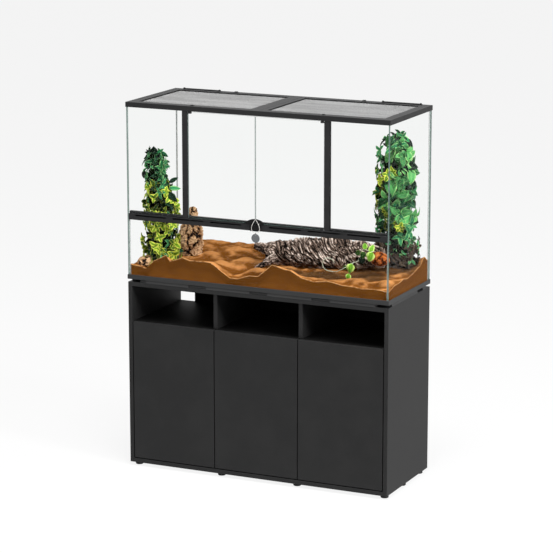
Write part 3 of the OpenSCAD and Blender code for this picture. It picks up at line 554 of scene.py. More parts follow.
@dataclass(frozen=True)
class DesertSand(Finish):
    """Orange sand: painted light on the crests, painted shade in the hollows, and a dark cut at the glass."""

    # The first two colours are painted light on the crests and painted shade in the hollows.
    crest: Rgb = (0.62, 0.27, 0.085)
    hollow: Rgb = (0.215, 0.072, 0.011)
    cut: Rgb = (0.133, 0.046, 0.0060)
    cut_dark: Rgb = (0.106, 0.035, 0.0045)
    # The next colour is a painted highlight along the top of the cut.
    rim: Rgb = (0.85, 0.47, 0.20)
    # The next colour is dark soil, also used for the log's painted shadow.
    humus: Rgb = (0.060, 0.032, 0.014)

    def paint(self) -> bpy.types.Material:
        """Builds the colour by slope and depth, with painted light on the crests and painted shade in the
        hollows, and grains of two sizes.

        Returns:
            The material.
        """
        tree = Tree("desert_sand")
        lift = tree.attribute("crest")
        below = tree.attribute("below")
        drift = tree.grain(14.0, 4.0, 0.55)
        grains = tree.grain(1500.0, 2.0)
        clump = tree.grain(120.0, 3.0, 0.5)
        # Painted light and shade: paler where the sand stands out or slopes towards the light, darker in the
        # hollows.
        level = lift * 0.90 + drift * 0.40 + clump * 0.08
        top = tree.blend(level.rise(0.42, 1.18), self.hollow, self.crest)
        # The log's painted shadow, with some real dark soil and litter: dark patches in front of the log and
        # at the right plant's foot.
        log_shadow_and_soil = (tree.attribute("humus") + clump * 0.5 - 0.25).rise(0.15, 0.75)
        top = tree.blend(log_shadow_and_soil * 0.85, top, self.humus)
        layers = tree.grain(60.0, 4.0, 0.6, at=tree.stretched((0.25, 0.25, 1.0)))
        wall = tree.blend((layers * 0.7 + clump * 0.3).rise(0.34, 0.68), self.cut_dark, self.cut)
        # Painted highlight: a pale band along the top edge of the cut at the glass.
        rim_highlight_share = (1.0 - below.rise(0.0008, 0.0048)) * clump.rise(0.30, 0.55)
        wall = tree.blend(rim_highlight_share, wall, self.rim)
        colour = tree.blend(below.rise(0.0, 0.0006), top, wall)
        relief = tree.bump(clump, 0.002, 0.35)
        relief = tree.bump(grains, 0.0009, 0.7, over=relief)
        rough = 0.86 + 0.1 * grains
        return tree.close(
            tree.surface(Base_Color=colour, Roughness=rough, Specular_IOR_Level=0.02, Normal=relief)
        )


@dataclass(frozen=True)
class RoughBark(Finish):
    """Bark or weathered wood: pale ridges and near-black clefts, from the mesh's own relief; the clefts'
    darkness is partly the wood's own and partly painted shade.
    """

    name: str = "cork_bark"
    ridge: Rgb = (0.82, 0.54, 0.31)
    mid: Rgb = (0.42, 0.225, 0.110)
    cleft: Rgb = (0.010, 0.006, 0.005)
    fibre_along: Point = (1.0, 1.0, 0.35)
    fibres: float = 190.0
    levels: tuple[float, float, float] = (0.16, 0.46, 0.86)

    def paint(self) -> bpy.types.Material:
        """Builds colour by the relief's height, with fibres and pits.

        Returns:
            The material.
        """
        tree = Tree(self.name)
        height = tree.attribute("ridge")
        fibre = tree.grain(self.fibres, 5.0, 0.65, at=tree.stretched(self.fibre_along))
        patch = tree.grain(28.0, 3.0)
        level = height * 0.9 + fibre * 0.36 + patch * 0.20 - 0.24
        # The cleft colour at low relief is painted shade in the cracks, over the wood's own darker grooves.
        stops = list(zip(self.levels, (self.cleft, self.mid, self.ridge)))
        colour = tree.node("ShaderNodeValToRGB", {"stops": stops}, {"Fac": level})
        relief = tree.bump(fibre, 0.003, 0.8)
        relief = tree.bump(tree.grain(900.0, 2.0), 0.0008, 0.6, over=relief)
        rough = 0.8 + 0.15 * fibre
        return tree.close(
            tree.surface(Base_Color=colour, Roughness=rough, Specular_IOR_Level=0.04, Normal=relief)
        )


@dataclass(frozen=True)
class Foliage(Finish):
    """Leaves with a deep middle, a brighter margin and a pale midrib, darkened to a painted shade colour
    where little light reaches them.
    """

    name: str
    deep: Rgb
    green: Rgb
    margin: Rgb
    margin_from: float = 0.45
    shade: Rgb = (0.002, 0.010, 0.005)
    gloss: float = 0.12

    def paint(self) -> bpy.types.Material:
        """Builds the leaf's pattern from its own across, along and tone values, then blends it into painted
        shade by its sun value.

        Returns:
            The material.
        """
        tree = Tree(self.name)
        across = tree.attribute("across").size()
        along = tree.attribute("along")
        tone = tree.attribute("tone")
        sun = tree.attribute("sun")
        blotch = tree.grain(120.0, 4.0, 0.6)
        veins = (along * 26.0 + across * 9.0).sine()
        inner = tree.blend((tone * 0.7 + blotch * 0.4).rise(0.25, 0.75), self.deep, self.green)
        outer = across * 0.8 + blotch * 0.5 + tone * 0.35 - 0.3
        leaf = tree.blend(outer.rise(self.margin_from, self.margin_from + 0.3), inner, self.margin)
        leaf = tree.blend((1.0 - across.rise(0.02, 0.10)) * 0.30, leaf, self.margin)
        # Painted shade: leaves with a low sun value take the shade colour.
        colour = tree.blend((sun * 0.8 + tone * 0.45).rise(0.34, 0.86), self.shade, leaf)
        relief = tree.bump(veins * 0.5 + 0.5, 0.0006, 0.5)
        rough = 0.30 + 0.2 * blotch
        return tree.close(
            tree.surface(Base_Color=colour, Roughness=rough, Specular_IOR_Level=self.gloss, Normal=relief)
        )


@dataclass(frozen=True)
class VineStem(Finish):
    """Green to brown stem or tendril."""

    young: Rgb = (0.80, 0.84, 0.70)
    old: Rgb = (0.50, 0.52, 0.36)

    def paint(self) -> bpy.types.Material:
        """Builds lengthwise colour changes and small nodes.

        Returns:
            The material.
        """
        tree = Tree("vine_stem")
        patch = tree.grain(60.0, 4.0)
        colour = tree.blend(patch.rise(0.35, 0.65), self.old, self.young)
        relief = tree.bump(tree.grain(700.0, 3.0), 0.0005, 0.5)
        rough = 0.55 + 0.2 * patch
        return tree.close(tree.surface(Base_Color=colour, Roughness=rough, Normal=relief))


@dataclass(frozen=True)
class StudioFloor(Finish):
    """Pale floor that keeps a faint shadow of what stands on it."""

    tone: Rgb = (0.86, 0.86, 0.86)
    whiteness: float = 0.88

    def paint(self) -> bpy.types.Material:
        """Builds a matte floor that the camera and mirrors see nearly white.

        Returns:
            The material.
        """
        tree = Tree("studio_floor")
        matte = tree.node("ShaderNodeBsdfDiffuse", inputs={"Color": self.tone})
        glow = tree.node("ShaderNodeEmission", inputs={"Color": WHITE, "Strength": 1.0})
        return tree.close(tree.mixed(tree.seen() * self.whiteness, matte, glow))


BOARD = FilmBoard()
# Darker, duller copy of the film board for the inside boards: painted shade in the niche and behind the
# doors.
SHADED_INSIDE_BOARD = FilmBoard("film_board_inside_painted_shade", (0.0045, 0.0045, 0.0045), (0.0065, 0.0065, 0.0065), 0.05)
# Darker, duller copy of the film board for the back: painted shade on the niches' back wall.
SHADED_BACK_BOARD = FilmBoard("back_board_painted_shade", (0.0040, 0.0040, 0.0040), (0.0060, 0.0060, 0.0060), 0.05)
PLASTIC = MouldedPlastic()
BASE_PLASTIC = MouldedPlastic("moulded_base", (0.0190, 0.0190, 0.0192), (0.0240, 0.0240, 0.0243), 0.30)
GRIP_PLASTIC = MouldedPlastic("grip_black", (0.0035, 0.0035, 0.0035), (0.0050, 0.0050, 0.0050), 0.14, 0.5)
GREY_NYLON = MouldedPlastic("grey_nylon", (0.50, 0.50, 0.49), (0.60, 0.60, 0.59), 0.4, 0.5)
STEEL = PlatedSteel()
LOOP_STEEL = PlatedSteel("loop_wire", (0.80, 0.78, 0.74), (0.60, 0.58, 0.54), 0.3)
TAG_METAL = PlatedSteel("tag_metal", (0.15, 0.155, 0.16), (0.30, 0.30, 0.31), 0.38)
GAUZE = MouldedPlastic("gauze_black", (0.010, 0.010, 0.010), (0.015, 0.015, 0.015), 0.15, 0.6)
CORK = RoughBark()
DRIFTWOOD = RoughBark(
    "driftwood", (0.88, 0.74, 0.65), (0.260, 0.180, 0.140), (0.006, 0.004, 0.003), (0.5, 1.0, 1.0), 150.0,
    (0.10, 0.34, 0.74),
)
RUST_BARK = RoughBark("rust_bark", (0.60, 0.20, 0.05), (0.30, 0.06, 0.012), (0.04, 0.012, 0.005))
# A near-black core inside each plant: the stems, and painted shade behind and between the leaves.
PLANT_SHADE_CORE = RoughBark("plant_shade_core", (0.020, 0.045, 0.012), (0.012, 0.022, 0.008), (0.003, 0.006, 0.003))
LIME_LEAVES = Foliage("lime_leaves", (0.012, 0.090, 0.008), (0.190, 0.400, 0.012), (0.84, 0.88, 0.12))
TEAL_LEAVES = Foliage(
    "teal_leaves", (0.004, 0.070, 0.034), (0.025, 0.280, 0.100), (0.34, 0.70, 0.26), 0.60
)
BROAD_LEAVES = Foliage(
    "broad_leaves", (0.004, 0.055, 0.022), (0.110, 0.450, 0.120), (0.48, 0.80, 0.30), 0.74
)
SPRIG_LEAVES = Foliage("sprig_leaves", (0.012, 0.11, 0.006), (0.150, 0.44, 0.020), (0.62, 0.84, 0.22), 0.58)
LITTER = Foliage("leaf_litter", (0.020, 0.012, 0.010), (0.060, 0.045, 0.030), (0.16, 0.10, 0.06), 0.7)


# ------------------------------------------------------------------ mesh building


@dataclass
class Piece:
    """One visible piece: its mesh, finish, body and the nodes that it stands for."""

    name: str
    finish: Finish
    body: str = "cabinet"
    replaces: tuple[str, ...] = ()
    slot: Optional[str] = None
    smooth: bool = True

    def make(
        self,
        points: np.ndarray,
        faces: Sequence[Sequence[int]],
        numbers: Optional[dict[str, np.ndarray]] = None,
    ) -> bpy.types.Object:
        """Builds the mesh and lets it ride on its body.

        Args:
            points: Points in metres, one row each.
            faces: Point numbers of each face.
            numbers: Named values, one for each point, for the finish to read.

        Returns:
            The new object.
        """
        mesh = bpy.data.meshes.new(self.name)
        mesh.from_pydata(points.tolist(), [], [list(face) for face in faces])
        mesh.validate()
        mesh.polygons.foreach_set("use_smooth", [self.smooth] * len(mesh.polygons))
        for label, values in (numbers or {}).items():
            layer = mesh.attributes.new(label, "FLOAT", "POINT")
            layer.data.foreach_set("value", np.asarray(values, np.float32))
        mesh.materials.append(self.finish.material())
        made = bpy.data.objects.new(self.name, mesh)
        bpy.context.scene.collection.objects.link(made)
        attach(made, self.body)
        if self.replaces:
            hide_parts(*self.replaces)
        LOG.info("piece %s: %d points, %d faces", self.name, len(points), len(faces))
        return made


def grid_faces(rows: int, columns: int, start: int = 0, wrap: bool = False) -> list[tuple[int, ...]]:
    """Returns the four-sided faces of a grid of points.

    Args:
        rows: Number of rows of points.
        columns: Number of points in a row.
        start: Number of the grid's first point.
        wrap: Whether each row closes on itself.

    Returns:
        Faces that look along row direction x column direction.
    """
    faces = []
    for i in range(rows - 1):
        for j in range(columns if wrap else columns - 1):
            a = start + i * columns + j
            b = start + i * columns + (j + 1) % columns
            faces.append((a, a + columns, b + columns, b))
    return faces


def tube(path: np.ndarray, radius: np.ndarray, sides: int = 8) -> tuple[np.ndarray, list[tuple[int, ...]]]:
    """Returns a closed round tube along a path.

    Args:
        path: Points of the centre line.
        radius: Radius at each point.
        sides: Points round the tube.

    Returns:
        The tube's points and faces.
    """
    run = np.gradient(path, axis=0)
    run /= np.linalg.norm(run, axis=1)[:, None]
    across = np.cross(run[0], (0.3, 0.9, 0.31))
    rings = []
    for centre, along, size in zip(path, run, radius):
        across = across - along * np.dot(across, along)
        across /= np.linalg.norm(across)
        other = np.cross(along, across)
        turn = np.linspace(0.0, 2.0 * math.pi, sides, endpoint=False)
        rings.append(centre + size * (np.outer(np.cos(turn), across) + np.outer(np.sin(turn), other)))
    points = np.concatenate(rings)
    faces = [face[::-1] for face in grid_faces(len(path), sides, wrap=True)]
    faces.append(tuple(range(sides))[::-1])
    faces.append(tuple(range(len(points) - sides, len(points))))
    return points, faces


def cloud(point: Sequence[float], size: float, octaves: int = 3, seed: float = 0.0) -> float:
    """Returns smooth noise from about -1 to 1.

    Args:
        point: Place in metres.
        size: Size of the largest lumps in metres.
        octaves: Number of finer and finer layers.
        seed: Shift that makes one noise differ from another.

    Returns:
        The noise at the point.
    """
    place = Vector(point) / size + Vector((seed, 2.3 * seed, -1.7 * seed))
    return noise.fractal(place, 1.0, 2.0, octaves, noise_basis="PERLIN_ORIGINAL") * NOISE_SPAN


# ------------------------------------------------------------------ stand


@dataclass
class Stand:
    """The black cabinet: boards, doors, shelves, feet and fittings."""

    outside: tuple[str, ...] = (
        "cabinet_left_side", "cabinet_right_side", "cabinet_top", "cabinet_bottom",
        "niche_divider_left", "niche_divider_right", "door_left", "door_middle", "door_right",
    )
    inside: tuple[str, ...] = (
        "middle_deck", "lower_divider_left", "lower_divider_right",
        "shelf_left", "shelf_middle", "shelf_right",
    )
    steel: tuple[str, ...] = (
        "shelf_pins", "hinge_arms", "door_left_fittings", "door_middle_fittings", "door_right_fittings",
    )

    def build(self) -> None:
        """Dresses the boards and the fittings."""
        BOARD.dress(self.outside)
        # The inside boards take the darker copy of the film board: painted shade.
        SHADED_INSIDE_BOARD.dress(self.inside)
        # The back takes the darker copy of the film board: painted shade.
        SHADED_BACK_BOARD.dress(("cabinet_back",))
        PLASTIC.dress(("cabinet_feet", "push_latches"))
        GREY_NYLON.dress(("plunger_left", "plunger_middle", "plunger_right"))
        STEEL.dress(self.steel)


# ------------------------------------------------------------------ tank


@dataclass
class Tank:
    """Glass tank: frames, panes, posts, vent rail and the sealed corners."""

    bead: float = 5.0 * MM
    bead_hollow: float = 0.62
    bead_gap: float = 0.1 * MM
    bead_levels: int = 12
    head_room: float = 12.0 * MM

    def build(self) -> None:
        """Dresses the frames and the panes and lays the sealant."""
        BASE_PLASTIC.dress(("base_frame",))
        PLASTIC.dress((
            "top_frame", "left_post", "right_post", "vent_rail", "cable_cover_left", "cable_cover_right",
        ))
        GAUZE.dress(("vent_gauze",))
        FloatGlass(PaneFace.UPWARDS).dress(("base_pane",))
        FloatGlass(PaneFace.SIDEWAYS).dress(("left_pane", "right_pane"))
        FloatGlass(PaneFace.FRONTWARDS).dress(
            ("back_pane", "front_lower_pane", "front_left_pane", "front_right_pane")
        )
        self.seal_corners()

    def seal_corners(self) -> None:
        """Lays a hollow-faced sealant bead up each inner corner of the glass."""
        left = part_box("left_pane")[1].x
        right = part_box("right_pane")[0].x
        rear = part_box("back_pane")[0].y
        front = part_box("front_lower_pane")[1].y
        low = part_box("base_pane")[1].z
        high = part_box("back_pane")[1].z - self.head_room
        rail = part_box("vent_rail")[0].z
        corners = {
            "sealant_rear_left": (left, rear, 1.0, -1.0, high),
            "sealant_rear_right": (right, rear, -1.0, -1.0, high),
            "sealant_front_left": (left, front, 1.0, 1.0, rail),
            "sealant_front_right": (right, front, -1.0, 1.0, rail),
        }
        for name, (x, y, to_x, to_y, top) in corners.items():
            self.bead_up(name, (x, y), (to_x, to_y), low, top)

    def bead_up(
        self, name: str, corner: tuple[float, float], inward: tuple[float, float], low: float, high: float
    ) -> None:
        """Builds one upright bead with a hollow face.

        Args:
            name: Name of the piece.
            corner: Place of the glass corner.
            inward: Directions from the corner into the tank.
            low: Level of its lower end.
            high: Level of its upper end.
        """
        gap = self.bead_gap
        turn = np.linspace(0.0, math.pi / 2.0, 6)
        reach = self.bead * (1.0 - self.bead_hollow * np.sin(2.0 * turn))
        outline = [(0.0, 0.0)] + [(r * math.cos(a), r * math.sin(a)) for r, a in zip(reach, turn)]
        levels = np.linspace(low, high, self.bead_levels)
        points = [
            (corner[0] + inward[0] * (gap + u), corner[1] + inward[1] * (gap + v), z)
            for z in levels for u, v in outline
        ]
        count = len(outline)
        faces = grid_faces(len(levels), count, wrap=True)
        faces.append(tuple(range(count)))
        faces.append(tuple(range(len(points) - count, len(points)))[::-1])
        Piece(name, ClearSealant(), smooth=False).make(np.array(points), faces)


@dataclass
class Lid:
    """One lid: its moulded frame, and the woven wire cloth in it."""

    side: str
    pitch: float = 2.3 * MM
    wire: float = 0.55 * MM

    def build(self) -> None:
        """Dresses the frame and weaves the cloth."""
        PLASTIC.dress((f"lid_{self.side}_frame",))
        self.weave()

    def weave(self) -> None:
        """Builds the cloth as crossing square wires in two layers."""
        low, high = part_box(f"lid_{self.side}_mesh")
        level = (low.z + high.z) / 2.0
        points: list[Point] = []
        faces: list[tuple[int, ...]] = []

        def add_wire(a: Point, b: Point) -> None:
            """Adds one wire as a box.

            Args:
                a: Its lowest corner.
                b: Its highest corner.
            """
            start = len(points)
            points.extend((x, y, z) for z in (a[2], b[2]) for y in (a[1], b[1]) for x in (a[0], b[0]))
            for face in ((0, 2, 3, 1), (4, 5, 7, 6), (0, 1, 5, 4), (2, 6, 7, 3), (0, 4, 6, 2), (1, 3, 7, 5)):
                faces.append(tuple(start + k for k in face))

        for y in np.arange(low.y + self.pitch, high.y - self.wire, self.pitch):
            add_wire((low.x, y, level - self.wire), (high.x, y + self.wire, level))
        for x in np.arange(low.x + self.pitch, high.x - self.wire, self.pitch):
            add_wire((x, low.y, level), (x + self.wire, high.y, level + self.wire))
        Piece(
            f"lid_{self.side}_cloth", WireCloth(), f"lid_{self.side}",
            (f"lid_{self.side}_mesh",), "mesh_wire", smooth=False,
        ).make(np.array(points), faces)


@dataclass
class GlassDoors:
    """The two glass doors with their shoes and grips, the lock and its loop."""

    def build(self) -> None:
        """Dresses the doors' panes and fittings, and the lock."""
        FloatGlass(PaneFace.FRONTWARDS).dress(("glass_door_left", "glass_door_right"))
        PLASTIC.dress(("glass_door_left_hinges", "glass_door_right_hinges"))
        GRIP_PLASTIC.dress(("grip_left", "grip_right", "lock_body"))
        LOOP_STEEL.dress(("wire_loop",))
        TAG_METAL.dress(("loop_tag",))


# ------------------------------------------------------------------ landscape


@dataclass(frozen=True)
class Dune:
    """A rounded rise or hollow of the sand, in millimetres."""

    x: float
    y: float
    wide: float
    deep: float
    height: float

    def level(self, x: float, y: float) -> float:
        """Returns the rise at a place."""
        return self.height * math.exp(-((x - self.x) / self.wide) ** 2 - ((y - self.y) / self.deep) ** 2)


# The sand's cut line along the front pane: place across and level, in millimetres.
FRONT_LINE = (
    (-592.0, 890.0), (-545.0, 886.0), (-518.0, 881.0), (-479.0, 915.0), (-421.0, 942.0), (-403.0, 918.0),
    (-345.0, 945.0), (-308.0, 931.0), (-214.0, 931.0), (-121.0, 876.0), (-84.0, 874.0), (-28.0, 893.0),
    (9.0, 892.0), (72.0, 949.0), (119.0, 932.0), (155.0, 931.0), (210.0, 906.0), (264.0, 895.0),
    (318.0, 904.0), (389.0, 890.0), (478.0, 886.0), (531.0, 891.0), (592.0, 882.0),
)

# Heaps and hollows of the sand's surface.
DUNES = (
    Dune(-337, 30, 34, 24, 13), Dune(-275, 128, 40, 30, 12), Dune(-225, -84, 30, 22, 15),
    Dune(-139, -126, 52, 34, -20), Dune(-150, -20, 46, 30, 15), Dune(-60, -30, 46, 34, 16),
    Dune(-30, -140, 44, 30, 14), Dune(-230, 40, 50, 40, -10), Dune(560, -120, 60, 46, 12),
    Dune(250, 150, 90, 60, 10), Dune(592, 20, 40, 60, -6), Dune(592, 178, 34, 26, 22),
    Dune(180, -150, 60, 30, -8), Dune(420, -150, 60, 30, 9), Dune(-80, 150, 50, 40, 9),
)

# Places where dark soil and the log's painted shadow lie over the sand; their height is their share.
LOG_SHADOW_AND_HUMUS = (
    Dune(90, -90, 110, 46, 0.8), Dune(250, -100, 130, 60, 1.0), Dune(420, -60, 120, 80, 1.0),
    Dune(500, 100, 120, 110, 1.0), Dune(-60, -60, 60, 40, 0.5),
)


# A ripple's height and size in millimetres, and its shift.
Ripple = tuple[float, float, float]


@dataclass
class SandBed:
    """The bed of desert sand, with its cut faces against the glass.

    Levels and reaches are in millimetres.
    """

    front_level: float = 884.0
    rise: float = 46.0
    front_reach: float = 66.0
    calm_reach: float = 12.0
    swells: Ripple = (4.2, 85.0, 1.3)
    ripples: Ripple = (1.1, 22.0, 4.1)
    creases: Ripple = (9.0, 110.0, 7.7)
    columns: int = 420
    rows: int = 156
    wall_rows: tuple[float, ...] = (0.0, 0.0008, 0.002, 0.0045, 0.012, 0.03)
    wall_start: float = 0.0008
    smoothings: int = 90
    crest_height: float = 6.0

    def level(self, x: float, y: float, low_y: float, high_y: float) -> float:
        """Returns the sand's level at a place in metres.

        Args:
            x: Place across the tank.
            y: Place from front to rear.
            low_y: Front end of the sand.
            high_y: Rear end of the sand.

        Returns:
            The level in metres.
        """
        share = (y - low_y) / (high_y - low_y)
        places, levels = zip(*FRONT_LINE)
        at_front = float(np.interp(x / MM, places, levels)) - self.front_level
        fade = math.exp(-(((y - low_y) / MM / self.front_reach) ** 2))
        dunes = sum(dune.level(x / MM, y / MM) for dune in DUNES)
        inner = min(1.0, (y - low_y) / MM / self.calm_reach)
        lumps = self._ripple(self.swells, x, y) + self._ripple(self.ripples, x, y, inner)
        creases = -abs(self._ripple(self.creases, x, 1.2 * y, inner)) * (1.0 - 0.6 * share)
        return (self.front_level + self.rise * share + at_front * fade + dunes + lumps + creases) * MM

    @staticmethod
    def _ripple(ripple: Ripple, x: float, y: float, strength: float = 1.0) -> float:
        """Measures one kind of ripple at a place.

        Args:
            ripple: Its height, its size and its shift.
            x: Place across the tank in metres.
            y: Place from front to rear in metres.
            strength: Share of the height that counts here.

        Returns:
            The level in millimetres.
        """
        height, size, shift = ripple
        return height * strength * cloud((x, y, 0.0), size * MM, 2, shift)

    def build(self) -> None:
        """Builds the surface and the four cut faces as one closed mesh."""
        low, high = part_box("sand_bed")
        xs = np.linspace(low.x, high.x, self.columns)
        ys = np.linspace(low.y, high.y, self.rows)
        top = np.array([(x, y, self.level(x, y, low.y, high.y)) for y in ys for x in xs])
        faces = [face[::-1] for face in grid_faces(self.rows, self.columns)]
        rim = self._rim()
        points, below = [top], [np.zeros(len(top))]
        ring = top[rim]
        start = len(top)
        previous = rim
        for depth in self.wall_rows + (None,):
            wall = ring.copy()
            wall[:, 2] = low.z if depth is None else ring[:, 2] - depth
            numbers = list(range(start, start + len(wall)))
            start += len(wall)
            points.append(wall)
            below.append(ring[:, 2] - wall[:, 2] + self.wall_start)
            if depth != 0.0:
                faces.extend(self._band(previous, numbers))
            previous = numbers
        faces.extend(self._band(rim, list(range(len(top), len(top) + len(rim)))))
        faces.append(tuple(previous))
        crest = self._crest(top[:, 2].reshape(self.rows, self.columns), xs, ys)
        # Share of the log's painted shadow and the dark soil at each point.
        humus = np.array([max(patch.level(x / MM, y / MM) for patch in LOG_SHADOW_AND_HUMUS) for x, y, _ in top])
        wall_points = start - len(top)
        numbers = {
            "crest": np.concatenate([crest, np.full(wall_points, 0.4)]),
            "humus": np.concatenate([humus, np.zeros(wall_points)]),
            "below": np.concatenate(below),
        }
        Piece("sand", DesertSand(), replaces=("sand_bed",), slot="sand").make(
            np.concatenate(points), faces, numbers
        )

    def _crest(self, heights: np.ndarray, xs: np.ndarray, ys: np.ndarray) -> np.ndarray:
        """Finds the painted light on the sand: paler crests, and darker hollows in painted shade.

        Args:
            heights: Level of each point, by row and column.
            xs: Places of the columns.
            ys: Places of the rows.

        Returns:
            How much painted light each point gets, by how far it stands out and faces the light, from 0 to 1.
        """
        soft = heights
        for _ in range(self.smoothings):
            wide = np.pad(soft, 1, mode="edge")
            soft = (wide[:-2, 1:-1] + wide[2:, 1:-1] + wide[1:-1, :-2] + wide[1:-1, 2:]) / 4.0
        slope_y, slope_x = np.gradient(heights, ys, xs)
        # Painted light: sand above the smoothed level that slopes towards the light counts as lit.
        crest = 0.45 + (heights - soft) / (self.crest_height * MM) - 0.5 * slope_x + 0.5 * (slope_y - 0.1)
        return np.clip(crest, 0.0, 1.0).reshape(-1)

    def _rim(self) -> list[int]:
        """Lists the points of the surface's rim.

        Returns:
            Their numbers, anticlockwise from above.
        """
        wide, deep = self.columns, self.rows
        return (
            list(range(wide - 1))
            + [j * wide + wide - 1 for j in range(deep - 1)]
            + [(deep - 1) * wide + i for i in range(wide - 1, 0, -1)]
            + [j * wide for j in range(deep - 1, 0, -1)]
        )

    @staticmethod
    def _band(upper: Sequence[int], lower: Sequence[int]) -> list[tuple[int, ...]]:
        """Builds a closed band between two rings of points.

        Args:
            upper: Numbers of the upper ring's points.
            lower: Numbers of the lower ring's points.

        Returns:
            The band's faces.
        """
        count = len(upper)
        return [
            (upper[k], lower[k], lower[(k + 1) % count], upper[(k + 1) % count]) for k in range(count)
        ]


class Skin(Enum):
    """How a wooden piece's skin is broken up."""

    CORK_LOBES = "lobes"
    TWISTED_STRANDS = "strands"


